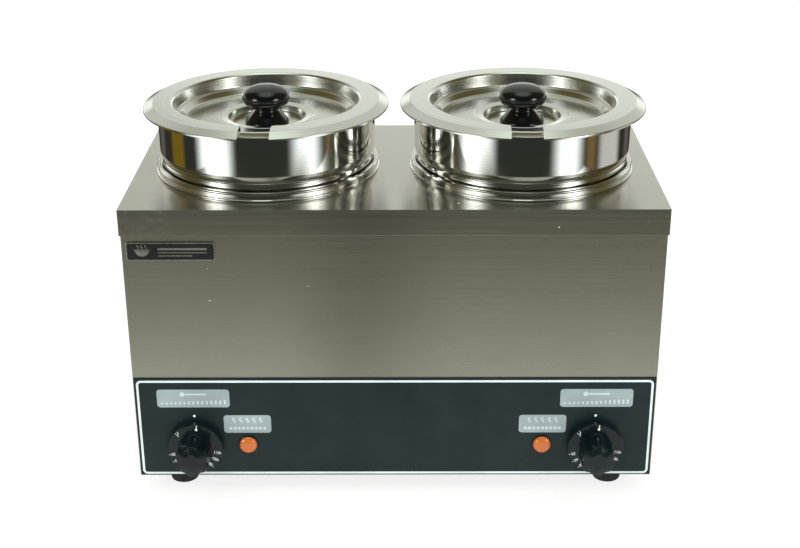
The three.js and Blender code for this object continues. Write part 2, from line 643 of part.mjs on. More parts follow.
add(kettle, "top_deck", topDeck(), "brushed");
add(kettle, "body_wrap", bodyWrap(), "brushed");
add(kettle, "back_panel", backPanel(), "brushed");
add(kettle, "bottom_plate", bottomPlate(), "zinc");
add(kettle, "control_panel", controlPanel(), "panel");
add(kettle, "badge_plate", badgePlate(), "badge");

for (const [sideName, side] of [["left", -1], ["right", 1]]) {
  const station = new THREE.Group();
  station.position.set(side * wellX, wellY, 0);
  kettle.add(station);
  add(station, `well_${sideName}`, well(), "polished");
  add(station, `heater_${sideName}`, heater(), "heater");
  add(station, `heater_clamp_${sideName}`, heaterClamp(), "zinc");
  add(station, `clamp_nut_${sideName}`, clampNut(), "zinc");
  add(station, `bulb_clip_${sideName}`, bulbClip(), "zinc").rotation.z = side > 0 ? Math.PI : 0;
  add(station, `pot_${sideName}`, pot(), "polished");
  add(station, `lid_${sideName}`, lid(), "polished").rotation.z = THREE.MathUtils.degToRad(lidTurn[sideName]);
  add(station, `lid_knob_${sideName}`, lidKnob(), "black");
  add(station, `lid_screw_${sideName}`, lidScrew(), "zinc");

  const dialAxis = new THREE.Group();
  dialAxis.position.set(side * dialX, 0, axisZ);
  kettle.add(dialAxis);
  add(dialAxis, `thermostat_${sideName}`, thermostat(), "ceramic");
  add(dialAxis, `thermostat_shaft_${sideName}`, thermostatShaft(), "brass");
  add(dialAxis, `dial_knob_${sideName}`, dialKnob(), "black");

  add(kettle, `lamp_lens_${sideName}`, lampLens(), "lens", side * lampX, 0, axisZ);
  add(kettle, `lamp_body_${sideName}`, lampBody(), "black", side * lampX, 0, axisZ);
  add(kettle, `capillary_${sideName}`, capillary(side), "copper");
}

footPlaces().forEach(([x, y]) => {
  const corner = `${y < wellY ? "front" : "back"}_${x < 0 ? "left" : "right"}`;
  add(kettle, `foot_${corner}`, foot(), "rubber", x, y);
  add(kettle, `foot_screw_${corner}`, footScrew(), "zinc", x, y);
});

backScrewPlaces().forEach(([x, z]) => {
  const corner = `${z > axisZ + 50 ? "top" : "bottom"}_${x < 0 ? "left" : "right"}`;
  add(kettle, `back_screw_${corner}`, backPanelScrew(), "zinc", x, 0, z);
});

add(kettle, "cable_gland", cableGland(), "black", glandX, 0, glandZ);
add(kettle, "gland_nut", glandNut(), "black", glandX, 0, glandZ);
add(kettle, "terminal_block", terminalBlock(), "ceramic");
add(kettle, "earth_stud", earthStud(), "brass", earthX, earthY);

for (const [name, points] of Object.entries(wirePaths())) {
  add(kettle, `wire_${name}`, tube(points, wireRadius, 5, 18), name.split("_")[0]);
}

export default kettle;
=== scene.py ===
import math

import bmesh
import bpy
from mathutils import Matrix, Vector


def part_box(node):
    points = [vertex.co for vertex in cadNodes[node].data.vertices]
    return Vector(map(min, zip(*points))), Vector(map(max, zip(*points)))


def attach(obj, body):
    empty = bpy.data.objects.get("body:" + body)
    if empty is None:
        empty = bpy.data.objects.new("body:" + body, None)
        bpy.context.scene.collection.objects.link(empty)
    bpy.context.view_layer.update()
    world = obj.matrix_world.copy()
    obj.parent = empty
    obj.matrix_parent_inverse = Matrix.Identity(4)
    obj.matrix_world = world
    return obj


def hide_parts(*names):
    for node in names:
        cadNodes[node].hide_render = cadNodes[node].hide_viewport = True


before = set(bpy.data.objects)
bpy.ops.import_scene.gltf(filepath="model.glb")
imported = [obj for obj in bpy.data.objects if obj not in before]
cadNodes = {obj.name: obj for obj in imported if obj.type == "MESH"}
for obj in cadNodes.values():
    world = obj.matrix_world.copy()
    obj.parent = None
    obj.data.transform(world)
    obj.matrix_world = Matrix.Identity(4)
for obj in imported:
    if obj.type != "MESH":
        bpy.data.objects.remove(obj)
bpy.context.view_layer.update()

mm = 0.001
sides = {"left": -1, "right": 1}


def middleOf(node):
    low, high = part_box(node)
    return (low + high) / 2


# Places read from the frame, in metres
potMiddle = middleOf("pot_right")
dialMiddle = middleOf("dial_knob_right")
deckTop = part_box("top_deck")[1].z
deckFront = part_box("top_deck")[0].y
panelLow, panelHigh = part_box("control_panel")
badgeLow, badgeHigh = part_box("badge_plate")
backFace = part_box("back_panel")[1].y
wellX, wellY = potMiddle.x, potMiddle.y
dialX, dialZ = dialMiddle.x, dialMiddle.z
lampX = middleOf("lamp_lens_right").x
glandMiddle = middleOf("cable_gland")
print("frame loaded with", len(cadNodes), "nodes")


# ---- Mesh helpers ----
def linkObject(name, data):
    obj = bpy.data.objects.new(name, data)
    bpy.context.scene.collection.objects.link(obj)
    return obj


def meshObject(name, verts, faces):
    mesh = bpy.data.meshes.new(name)
    mesh.from_pydata([tuple(v) for v in verts], [], faces)
    return linkObject(name, mesh)


# Applies the modifiers, so that the piece is one plain mesh.
def settle(obj):
    graph = bpy.context.evaluated_depsgraph_get()
    mesh = bpy.data.meshes.new_from_object(obj.evaluated_get(graph))
    if obj.type != "MESH":
        plain = linkObject(obj.name + ".mesh", mesh)
        name = obj.name
        bpy.data.objects.remove(obj)
        plain.name = name
        return plain
    obj.modifiers.clear()
    obj.data = mesh
    return obj


def outward(obj, merge=1e-6):
    shape = bmesh.new()
    shape.from_mesh(obj.data)
    bmesh.ops.remove_doubles(shape, verts=shape.verts, dist=merge)
    bmesh.ops.recalc_face_normals(shape, faces=shape.faces)
    shape.to_mesh(obj.data)
    shape.free()
    return obj


def softEdges(obj, width, angle=40, segments=3):
    bevel = obj.modifiers.new("edges", "BEVEL")
    bevel.width = width
    bevel.segments = segments
    bevel.limit_method = "ANGLE"
    bevel.angle_limit = math.radians(angle)
    bevel.use_clamp_overlap = True
    return settle(obj)


# Smooth shading, with flat faces kept flat beside their rounded edges.
def shade(obj, angle=38, weighted=True):
    obj.data.shade_smooth()
    obj.data.set_sharp_from_angle(angle=math.radians(angle))
    if weighted:
        weight = obj.modifiers.new("normals", "WEIGHTED_NORMAL")
        weight.keep_sharp = True
        weight.weight = 80
        settle(obj)
    return obj


def joined(name, parts):
    verts, faces = [], []
    for part in parts:
        start = len(verts)
        verts += [v.co.copy() for v in part.data.vertices]
        faces += [[start + i for i in p.vertices] for p in part.data.polygons]
        bpy.data.objects.remove(part)
    return meshObject(name, verts, faces)


# Rounds the corners of a profile of (radius, height, fillet) points.
def rounded(profile, closed=False, steps=5):
    points = []
    count = len(profile)
    for i, corner in enumerate(profile):
        here = Vector(corner[:2])
        fillet = corner[2] if len(corner) > 2 else 0
        if fillet == 0 or (not closed and i in (0, count - 1)):
            points.append(here)
            continue
        before = (Vector(profile[i - 1][:2]) - here)
        after = (Vector(profile[(i + 1) % count][:2]) - here)
        angle = before.angle(after)
        cut = min(fillet / math.tan(angle / 2), 0.48 * before.length, 0.48 * after.length)
        a = here + before.normalized() * cut
        b = here + after.normalized() * cut
        points += [a.lerp(here, t).lerp(here.lerp(b, t), t) for t in [s / steps for s in range(steps + 1)]]
    return points


# Turns a profile of points in millimetres about Z. It starts and ends on the axis, or closes on itself.
def revolve(name, profile, centre, segments=144, closed=False):
    verts, rings, faces = [], [], []
    for point in profile:
        if abs(point[0]) < 1e-6:
            rings.append([len(verts)] * segments)
            verts.append(Vector((0, 0, point[1] * mm)))
            continue
        start = len(verts)
        rings.append(list(range(start, start + segments)))
        for s in range(segments):
            a = 2 * math.pi * s / segments
            verts.append(Vector((point[0] * mm * math.cos(a), point[0] * mm * math.sin(a), point[1] * mm)))
    pairs = list(zip(rings, rings[1:])) + ([(rings[-1], rings[0])] if closed else [])
    for low, high in pairs:
        for s in range(segments):
            t = (s + 1) % segments
            quad = [low[s], low[t], high[t], high[s]]
            face = [v for i, v in enumerate(quad) if v != quad[i - 1]]
            if len(face) > 2:
                faces.append(face)
    move = Matrix.Translation(centre)
    return outward(meshObject(name, [move @ v for v in verts], faces))


# A flat outline in the XZ plane of the front, thickened towards the viewer; points are in metres.
def plate(name, outline, back, thickness, holes=()):
    shape = bmesh.new()
    loops = [outline] + list(holes)
    edges = []
    for loop in loops:
        verts = [shape.verts.new((x, back, z)) for x, z in loop]
        edges += [shape.edges.new((verts[i], verts[(i + 1) % len(verts)])) for i in range(len(verts))]
    bmesh.ops.triangle_fill(shape, edges=edges, use_beauty=True)
    made = bmesh.ops.extrude_face_region(shape, geom=list(shape.faces))
    moved = [v for v in made["geom"] if isinstance(v, bmesh.types.BMVert)]
    bmesh.ops.translate(shape, verts=moved, vec=(0, -thickness, 0))
    bmesh.ops.recalc_face_normals(shape, faces=shape.faces)
    mesh = bpy.data.meshes.new(name)
    shape.to_mesh(mesh)
    shape.free()
    return linkObject(name, mesh)


def roundRect(x0, z0, x1, z1, radius, steps=8):
    points = []
    for cx, cz, start in ((x1 - radius, z1 - radius, 0), (x0 + radius, z1 - radius, 90),
                          (x0 + radius, z0 + radius, 180), (x1 - radius, z0 + radius, 270)):
        for s in range(steps + 1):
            a = math.radians(start + 90 * s / steps)
            points.append((cx + radius * math.cos(a), cz + radius * math.sin(a)))
    return points


def disc(x, z, radius, steps=24):
    return [(x + radius * math.cos(2 * math.pi * s / steps), z + radius * math.sin(2 * math.pi * s / steps))
            for s in range(steps)]


# A line of ink of even width through the points, as an outline.
def inkLine(points, width):
    left, right = [], []
    for i, point in enumerate(points):
        here = Vector(point)
        along = (Vector(points[min(i + 1, len(points) - 1)]) - Vector(points[max(i - 1, 0)])).normalized()
        side = Vector((-along.y, along.x)) * width / 2
        left.append(tuple(here + side))
        right.append(tuple(here - side))
    return left + right[::-1]


# A CAD node copied, merged and given soft edges.
def refined(node, name, width, angle=40, segments=3):
    obj = linkObject(name, cadNodes[node].data.copy())
    shape = bmesh.new()
    shape.from_mesh(obj.data)
    bmesh.ops.remove_doubles(shape, verts=shape.verts, dist=2e-6)
    bmesh.ops.dissolve_limit(shape, angle_limit=math.radians(0.6), verts=shape.verts, edges=shape.edges)
    shape.to_mesh(obj.data)
    shape.free()
    return shade(softEdges(obj, width, angle, segments))


def finish(obj, body, slot, material, *replaced):
    obj.data.materials.clear()
    obj.data.materials.append(material)
    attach(obj, body)
    if replaced:
        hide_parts(*replaced)
    return obj


# ---- Shader helpers ----
def addNode(tree, kind, inputs=None, **settings):
    made = tree.nodes.new(kind)
    for key, value in settings.items():
        setattr(made, key, value)
    for key, value in (inputs or {}).items():
        if isinstance(value, bpy.types.NodeSocket):
            tree.links.new(value, made.inputs[key])
        else:
            made.inputs[key].default_value = value
    return made


def calc(tree, operation, a, b=0.0, c=0.0, clamp=False):
    made = addNode(tree, "ShaderNodeMath", {0: a, 1: b, 2: c}, operation=operation, use_clamp=clamp)
    return made.outputs[0]


def ramp(tree, value, low, high, toLow=0.0, toHigh=1.0, smooth=True):
    made = addNode(tree, "ShaderNodeMapRange", {"Value": value, "From Min": low, "From Max": high,
                                                "To Min": toLow, "To Max": toHigh})
    made.interpolation_type = "SMOOTHSTEP" if smooth else "LINEAR"
    return made.outputs[0]


def mixColour(tree, fac, a, b, blend="MIX"):
    made = addNode(tree, "ShaderNodeMix", data_type="RGBA", blend_type=blend)
    for index, value in ((0, fac), (6, a), (7, b)):
        if isinstance(value, bpy.types.NodeSocket):
            tree.links.new(value, made.inputs[index])
        elif index == 0:
            made.inputs[index].default_value = value
        else:
            made.inputs[index].default_value = (*value[:3], 1)
    return made.outputs[2]


def newGroup(name, inputs, outputs):
    group = bpy.data.node_groups.new(name, "ShaderNodeTree")
    for label, value in inputs.items():
        kind = "NodeSocketVector" if isinstance(value, tuple) else "NodeSocketFloat"
        socket = group.interface.new_socket(label, in_out="INPUT", socket_type=kind)
        socket.default_value = value
    for label in outputs:
        kind = "NodeSocketVector" if label == "Normal" else "NodeSocketFloat"
        group.interface.new_socket(label, in_out="OUTPUT", socket_type=kind)
    return group, addNode(group, "NodeGroupInput").outputs, addNode(group, "NodeGroupOutput").inputs


def useGroup(tree, group, **inputs):
    made = tree.nodes.new("ShaderNodeGroup")
    made.node_tree = group
    for key, value in inputs.items():
        if isinstance(value, bpy.types.NodeSocket):
            tree.links.new(value, made.inputs[key])
        else:
            made.inputs[key].default_value = value
    return made.outputs


# Straight brushed grain: fine streaks that run one way, as on rolled and belt-ground sheet.
def makeGrainGroup():
    group, given, out = newGroup("sheetGrain", {"Scale": (20.0, 900.0, 900.0), "Depth": 0.1}, ["Streaks", "Normal"])
    place = addNode(group, "ShaderNodeTexCoord").outputs["Object"]
    stretched = addNode(group, "ShaderNodeVectorMath", {0: place, 1: given["Scale"]}, operation="MULTIPLY")
    fine = addNode(group, "ShaderNodeTexNoise", {"Vector": stretched.outputs[0], "Scale": 1.0, "Detail": 4.0,
                                                 "Roughness": 0.65})
    wide = addNode(group, "ShaderNodeVectorMath", {0: stretched.outputs[0], 1: (0.3, 0.42, 0.42)},
                   operation="MULTIPLY")
    coarse = addNode(group, "ShaderNodeTexNoise", {"Vector": wide.outputs[0], "Scale": 1.0, "Detail": 2.0})
    streaks = calc(group, "ADD", calc(group, "MULTIPLY", fine.outputs[0], 0.72),
                   calc(group, "MULTIPLY", coarse.outputs[0], 0.28))
    bump = addNode(group, "ShaderNodeBump", {"Strength": given["Depth"], "Distance": 0.0002, "Height": streaks})
    group.links.new(streaks, out["Streaks"])
    group.links.new(bump.outputs[0], out["Normal"])
    return group


# Lines left by spinning or polishing on a lathe, round either pot's axis.
def makeSpinGroup():
    group, given, out = newGroup("spinLines", {"Spacing": 0.0006, "Depth": 0.05}, ["Lines", "Normal", "Radius"])
    place = addNode(group, "ShaderNodeTexCoord").outputs["Object"]
    parts = addNode(group, "ShaderNodeSeparateXYZ", {0: place}).outputs
    x = calc(group, "SUBTRACT", calc(group, "ABSOLUTE", parts[0]), wellX)
    y = calc(group, "SUBTRACT", parts[1], wellY)
    radius = calc(group, "SQRT", calc(group, "ADD", calc(group, "MULTIPLY", x, x), calc(group, "MULTIPLY", y, y)))
    turn = calc(group, "ARCTAN2", y, x)
    along = calc(group, "DIVIDE", radius, given["Spacing"])
    up = calc(group, "DIVIDE", parts[2], given["Spacing"])
    vector = addNode(group, "ShaderNodeCombineXYZ", {0: along, 1: up, 2: calc(group, "MULTIPLY", turn, 0.8)})
    noise = addNode(group, "ShaderNodeTexNoise", {"Vector": vector.outputs[0], "Scale": 1.0, "Detail": 3.0,
                                                  "Roughness": 0.6})
    bump = addNode(group, "ShaderNodeBump", {"Strength": given["Depth"], "Distance": 0.0002,
                                             "Height": noise.outputs[0]})
    group.links.new(noise.outputs[0], out["Lines"])
    group.links.new(bump.outputs[0], out["Normal"])
    group.links.new(radius, out["Radius"])
    return group


# Wipe marks and fingerprints: a slow cloud with a few patches of finer smears.
def makeSmudgeGroup():
    group, given, out = newGroup("smudges", {"Size": 0.06, "Seed": 0.0}, ["Cloud", "Smears"])
    place = addNode(group, "ShaderNodeTexCoord").outputs["Object"]
    scale = calc(group, "DIVIDE", 1.0, given["Size"])
    cloud = addNode(group, "ShaderNodeTexNoise", {"Vector": place, "W": given["Seed"], "Scale": scale,
                                                  "Detail": 3.0, "Roughness": 0.55}, noise_dimensions="4D")
    fine = addNode(group, "ShaderNodeTexNoise", {"Vector": place, "W": given["Seed"],
                                                 "Scale": calc(group, "MULTIPLY", scale, 9.0), "Detail": 5.0,
                                                 "Roughness": 0.7, "Distortion": 1.2}, noise_dimensions="4D")
    patches = ramp(group, cloud.outputs[0], 0.5, 0.68)
    smears = calc(group, "MULTIPLY", patches, ramp(group, fine.outputs[0], 0.42, 0.7))
    group.links.new(cloud.outputs[0], out["Cloud"])
    group.links.new(smears, out["Smears"])
    return group


# Small pale specks of lint and dust.
def makeLintGroup():
    group, given, out = newGroup("lint", {"Spacing": 0.012, "Amount": 0.1}, ["Specks"])
    place = addNode(group, "ShaderNodeTexCoord").outputs["Object"]
    cells = addNode(group, "ShaderNodeTexVoronoi", {"Vector": place, "Scale": calc(group, "DIVIDE", 1.0, given["Spacing"]),
                                                    "Randomness": 1.0}, voronoi_dimensions="3D")
    parts = addNode(group, "ShaderNodeSeparateColor", {0: cells.outputs["Color"]}).outputs
    chosen = calc(group, "LESS_THAN", parts[0], given["Amount"])
    size = ramp(group, parts[1], 0.0, 1.0, 0.02, 0.07, smooth=False)
    spot = calc(group, "LESS_THAN", cells.outputs["Distance"], size)
    group.links.new(calc(group, "MULTIPLY", chosen, spot), out["Specks"])
    return group


grainGroup = makeGrainGroup()
spinGroup = makeSpinGroup()
smudgeGroup = makeSmudgeGroup()
lintGroup = makeLintGroup()


def newMaterial(name, base, roughness, metallic=0.0, **sockets):
    material = bpy.data.materials.new(name)
    material.use_nodes = True
    tree = material.node_tree
    shader = tree.nodes["Principled BSDF"]
    shader.inputs["Base Color"].default_value = (*base, 1)
    shader.inputs["Roughness"].default_value = roughness
    shader.inputs["Metallic"].default_value = metallic
    for label, value in sockets.items():
        shader.inputs[label.replace("_", " ")].default_value = value
    return material, tree, shader.inputs


# Rolled sheet: `scale` is large across the grain and small along it. Reflections spread across the grain.
def brushedSteel(name, base, roughness, scale, specks=0.0, seed=0.0):
    material, tree, shader = newMaterial(name, base, roughness, 1.0, Anisotropic=0.7)
    facing = addNode(tree, "ShaderNodeNewGeometry").outputs["Normal"]
    across = addNode(tree, "ShaderNodeVectorMath", {0: facing, 1: (1.0, 0.0, 0.0)}, operation="CROSS_PRODUCT")
    lifted = addNode(tree, "ShaderNodeVectorMath", {0: across.outputs[0], 1: (0.0, 0.0, 0.01)}, operation="ADD")
    tree.links.new(lifted.outputs[0], shader["Tangent"])
    grain = useGroup(tree, grainGroup, Scale=scale, Depth=0.12)
    smudge = useGroup(tree, smudgeGroup, Size=0.075, Seed=seed)
    tone = ramp(tree, grain["Streaks"], 0.3, 0.7)
    dark = tuple(0.93 * c for c in base)
    light = tuple(min(1.0, 1.05 * c) for c in base)
    colour = mixColour(tree, tone, dark, light)
    colour = mixColour(tree, ramp(tree, smudge["Cloud"], 0.35, 0.7), colour, tuple(0.95 * c for c in base))
    rough = calc(tree, "ADD", ramp(tree, grain["Streaks"], 0.3, 0.7, roughness - 0.03, roughness + 0.04),
                 calc(tree, "MULTIPLY", smudge["Smears"], 0.08))
    if specks > 0:
        lint = useGroup(tree, lintGroup, Spacing=0.011, Amount=specks)
        colour = mixColour(tree, lint["Specks"], colour, (0.95, 0.95, 0.93))
        tree.links.new(calc(tree, "SUBTRACT", 1.0, calc(tree, "MULTIPLY", lint["Specks"], 0.9)), shader["Metallic"])
    tree.links.new(colour, shader["Base Color"])
    tree.links.new(rough, shader["Roughness"])
    tree.links.new(grain["Normal"], shader["Normal"])
    return material


# Spun and polished sheet.
def spunSteel(name, base, roughness, spacing, depth, spread=0.04):
    material, tree, shader = newMaterial(name, base, roughness, 1.0)
    spin = useGroup(tree, spinGroup, Spacing=spacing, Depth=depth)
    smudge = useGroup(tree, smudgeGroup, Size=0.045, Seed=3.0)
    colour = mixColour(tree, ramp(tree, spin["Lines"], 0.3, 0.7), tuple(0.94 * c for c in base), base)
    rough = calc(tree, "ADD", ramp(tree, spin["Lines"], 0.3, 0.7, roughness, roughness + spread),
                 calc(tree, "MULTIPLY", smudge["Smears"], 0.07))
    tree.links.new(colour, shader["Base Color"])
    tree.links.new(rough, shader["Roughness"])
    tree.links.new(spin["Normal"], shader["Normal"])
    return material


# Moulded plastic, rubber or paint with a fine skin texture.
def moulded(name, base, roughness, grain, depth, spread=0.08, **sockets):
    material, tree, shader = newMaterial(name, base, roughness, **sockets)
    place = addNode(tree, "ShaderNodeTexCoord").outputs["Object"]
    skin = addNode(tree, "ShaderNodeTexNoise", {"Vector": place, "Scale": 1.0 / grain, "Detail": 3.0})
    smudge = useGroup(tree, smudgeGroup, Size=0.03, Seed=7.0)
    bump = addNode(tree, "ShaderNodeBump", {"Strength": depth, "Distance": 0.0001, "Height": skin.outputs[0]})
    colour = mixColour(tree, ramp(tree, smudge["Cloud"], 0.3, 0.75), base, tuple(min(1.0, 1.25 * c + 0.002) for c in base))
    rough = calc(tree, "ADD", ramp(tree, skin.outputs[0], 0.3, 0.7, roughness, roughness + spread),
                 calc(tree, "MULTIPLY", smudge["Smears"], 0.12))
    tree.links.new(colour, shader["Base Color"])
    tree.links.new(rough, shader["Roughness"])
    tree.links.new(bump.outputs[0], shader["Normal"])
    return material


finishes = {
    "deck": brushedSteel("deckSteel", (0.62, 0.615, 0.56), 0.21, (9.0, 1500.0, 1500.0), 0.22, 1.0),
    "wrap": brushedSteel("casingSteel", (0.58, 0.575, 0.495), 0.29, (9.0, 9.0, 1500.0), 0.10, 2.0),
    "back": brushedSteel("backSteel", (0.57, 0.56, 0.51), 0.36, (9.0, 1500.0, 1500.0), 0.04, 4.0),
    "pot": spunSteel("potSteel", (0.80, 0.79, 0.75), 0.05, 0.0007, 0.04),
    "collar": spunSteel("collarSteel", (0.78, 0.77, 0.72), 0.10, 0.0006, 0.06),
    "lid": spunSteel("lidSteel", (0.78, 0.785, 0.74), 0.16, 0.0009, 0.08, 0.06),
    "knob": moulded("knobBlack", (0.003, 0.003, 0.004), 0.05, 0.0009, 0.03, 0.03, Coat_Weight=0.3, Coat_Roughness=0.03),
    "dial": moulded("dialBlack", (0.003, 0.007, 0.009), 0.14, 0.0007, 0.06, 0.05, Specular_IOR_Level=0.3,
                    Coat_Weight=0.35, Coat_Roughness=0.05),
    "panel": moulded("panelBlack", (0.005, 0.015, 0.017), 0.34, 0.0005, 0.16, 0.08, Specular_IOR_Level=0.4),
    "label": moulded("labelGrey", (0.28, 0.345, 0.355), 0.42, 0.0004, 0.06),
    "ink": moulded("inkWhite", (0.78, 0.82, 0.82), 0.45, 0.0004, 0.05),
    "faintInk": moulded("inkPale", (0.50, 0.59, 0.60), 0.45, 0.0004, 0.05),
    "border": moulded("borderInk", (0.66, 0.75, 0.74), 0.42, 0.0004, 0.05),
    "badge": moulded("badgeBlack", (0.008, 0.009, 0.010), 0.25, 0.0006, 0.08, Coat_Weight=0.4),
    "silver": moulded("badgeSilver", (0.74, 0.75, 0.74), 0.22, 0.0005, 0.06, Metallic=1.0),
    "rubber": moulded("footRubber", (0.014, 0.014, 0.014), 0.62, 0.0011, 0.35),
    "gland": moulded("glandBlack", (0.013, 0.013, 0.014), 0.42, 0.0008, 0.2),
    "ceramic": moulded("steatite", (0.72, 0.68, 0.58), 0.55, 0.0010, 0.3),
    "live": moulded("sleeveBrown", (0.10, 0.035, 0.015), 0.5, 0.0010, 0.3),
    "neutral": moulded("sleeveBlue", (0.015, 0.06, 0.24), 0.5, 0.0010, 0.3),
    "load": moulded("sleeveRed", (0.30, 0.012, 0.010), 0.5, 0.0010, 0.3),
    "earth": moulded("sleeveGreen", (0.13, 0.30, 0.015), 0.5, 0.0010, 0.3),
    "zinc": moulded("zincPlate", (0.60, 0.62, 0.63), 0.30, 0.0012, 0.25, 0.12, Metallic=1.0),
    "brass": moulded("turnedBrass", (0.62, 0.44, 0.16), 0.28, 0.0012, 0.2, 0.1, Metallic=1.0),
    "copper": moulded("drawnCopper", (0.62, 0.28, 0.15), 0.30, 0.0012, 0.2, 0.1, Metallic=1.0),
    "heater": moulded("heaterSheath", (0.11, 0.095, 0.085), 0.48, 0.0012, 0.4, 0.1, Metallic=0.9),
}


# Orange lens: a ribbed diffuser under a glossy face.
def lensOrange():
    material, tree, shader = newMaterial("lensOrange", (0.72, 0.17, 0.03), 0.14, Coat_Weight=0.8, Coat_Roughness=0.05)
    place = addNode(tree, "ShaderNodeTexCoord").outputs["Object"]
    cells = addNode(tree, "ShaderNodeTexVoronoi", {"Vector": place, "Scale": 620.0, "Randomness": 0.35})
    bump = addNode(tree, "ShaderNodeBump", {"Strength": 0.14, "Distance": 0.0003, "Height": cells.outputs["Distance"]})
    tone = ramp(tree, cells.outputs["Distance"], 0.1, 0.7)
    tree.links.new(mixColour(tree, tone, (0.62, 0.18, 0.03), (0.54, 0.13, 0.02)), shader["Base Color"])
    tree.links.new(ramp(tree, tone, 0.0, 1.0, 0.10, 0.20), shader["Roughness"])
    tree.links.new(bump.outputs[0], shader["Normal"])
    return material


finishes["lens"] = lensOrange()
print("materials made:", len(finishes))


# ---- Geometry Nodes helpers ----
def newTree(name, inputs):
    tree = bpy.data.node_groups.new(name, "GeometryNodeTree")
    tree.interface.new_socket("Geometry", in_out="INPUT", socket_type="NodeSocketGeometry")
    tree.interface.new_socket("Geometry", in_out="OUTPUT", socket_type="NodeSocketGeometry")
    kinds = {int: "NodeSocketInt", float: "NodeSocketFloat", str: "NodeSocketMaterial"}
    for label, value in inputs.items():
        socket = tree.interface.new_socket(label, in_out="INPUT", socket_type=kinds[type(value)])
        if not isinstance(value, str):
            socket.default_value = value
    return tree, addNode(tree, "NodeGroupInput").outputs, addNode(tree, "NodeGroupOutput").inputs


# Every tree ends the same way: copies made real, then the material.
def closeTree(tree, geometry, material, out):
    real = addNode(tree, "GeometryNodeRealizeInstances", {0: geometry})
    painted = addNode(tree, "GeometryNodeSetMaterial", {"Geometry": real.outputs[0], "Material": material})
    tree.links.new(painted.outputs[0], out["Geometry"])
    return tree


def runTree(obj, tree, **values):
    modifier = obj.modifiers.new(tree.name, "NODES")
    modifier.node_group = tree
    for item in tree.interface.items_tree:
        if item.item_type == "SOCKET" and item.in_out == "INPUT" and item.name.replace(" ", "") in values:
            modifier[item.identifier] = values[item.name.replace(" ", "")]
    return settle(obj)


def vector(tree, x=0.0, y=0.0, z=0.0):
    return addNode(tree, "ShaderNodeCombineXYZ", {0: x, 1: y, 2: z}).outputs[0]


# Fluted grip: a straight spine whose point radii give the silhouette is wrapped in a lobed section.
def makeGripTree():
    tree, given, out = newTree("flutedGrip", {"Lobes": 6, "Flute Depth": 0.13, "Ridge Share": 0.3, "Turn": 0.0,
                                              "Resolution": 144, "Material": ""})
    ring = addNode(tree, "GeometryNodeCurvePrimitiveCircle", {"Resolution": given["Resolution"], "Radius": 1.0})
    parts = addNode(tree, "ShaderNodeSeparateXYZ", {0: addNode(tree, "GeometryNodeInputPosition").outputs[0]}).outputs
    turn = calc(tree, "SUBTRACT", calc(tree, "ARCTAN2", parts[0], parts[1]), given["Turn"])
    phase = calc(tree, "PINGPONG", calc(tree, "DIVIDE", calc(tree, "MULTIPLY", turn, given["Lobes"]), math.pi), 1.0)
    away = calc(tree, "DIVIDE", calc(tree, "SUBTRACT", 1.0, phase), calc(tree, "SUBTRACT", 1.0, given["Ridge Share"]))
    dip = calc(tree, "SUBTRACT", 1.0, calc(tree, "MULTIPLY", away, away), clamp=True)
    size = calc(tree, "SUBTRACT", 1.0, calc(tree, "MULTIPLY", dip, given["Flute Depth"]))
    scaled = addNode(tree, "ShaderNodeVectorMath", {0: addNode(tree, "GeometryNodeInputPosition").outputs[0]},
                     operation="SCALE")
    tree.links.new(size, scaled.inputs["Scale"])
    lobed = addNode(tree, "GeometryNodeSetPosition", {"Geometry": ring.outputs[0], "Position": scaled.outputs[0]})
    radius = addNode(tree, "GeometryNodeInputRadius")
    body = addNode(tree, "GeometryNodeCurveToMesh", {"Curve": given["Geometry"], "Profile Curve": lobed.outputs[0],
                                                     "Fill Caps": True})
    if "Scale" in body.inputs:
        tree.links.new(radius.outputs[0], body.inputs["Scale"])
    return closeTree(tree, body.outputs[0], given["Material"], out)


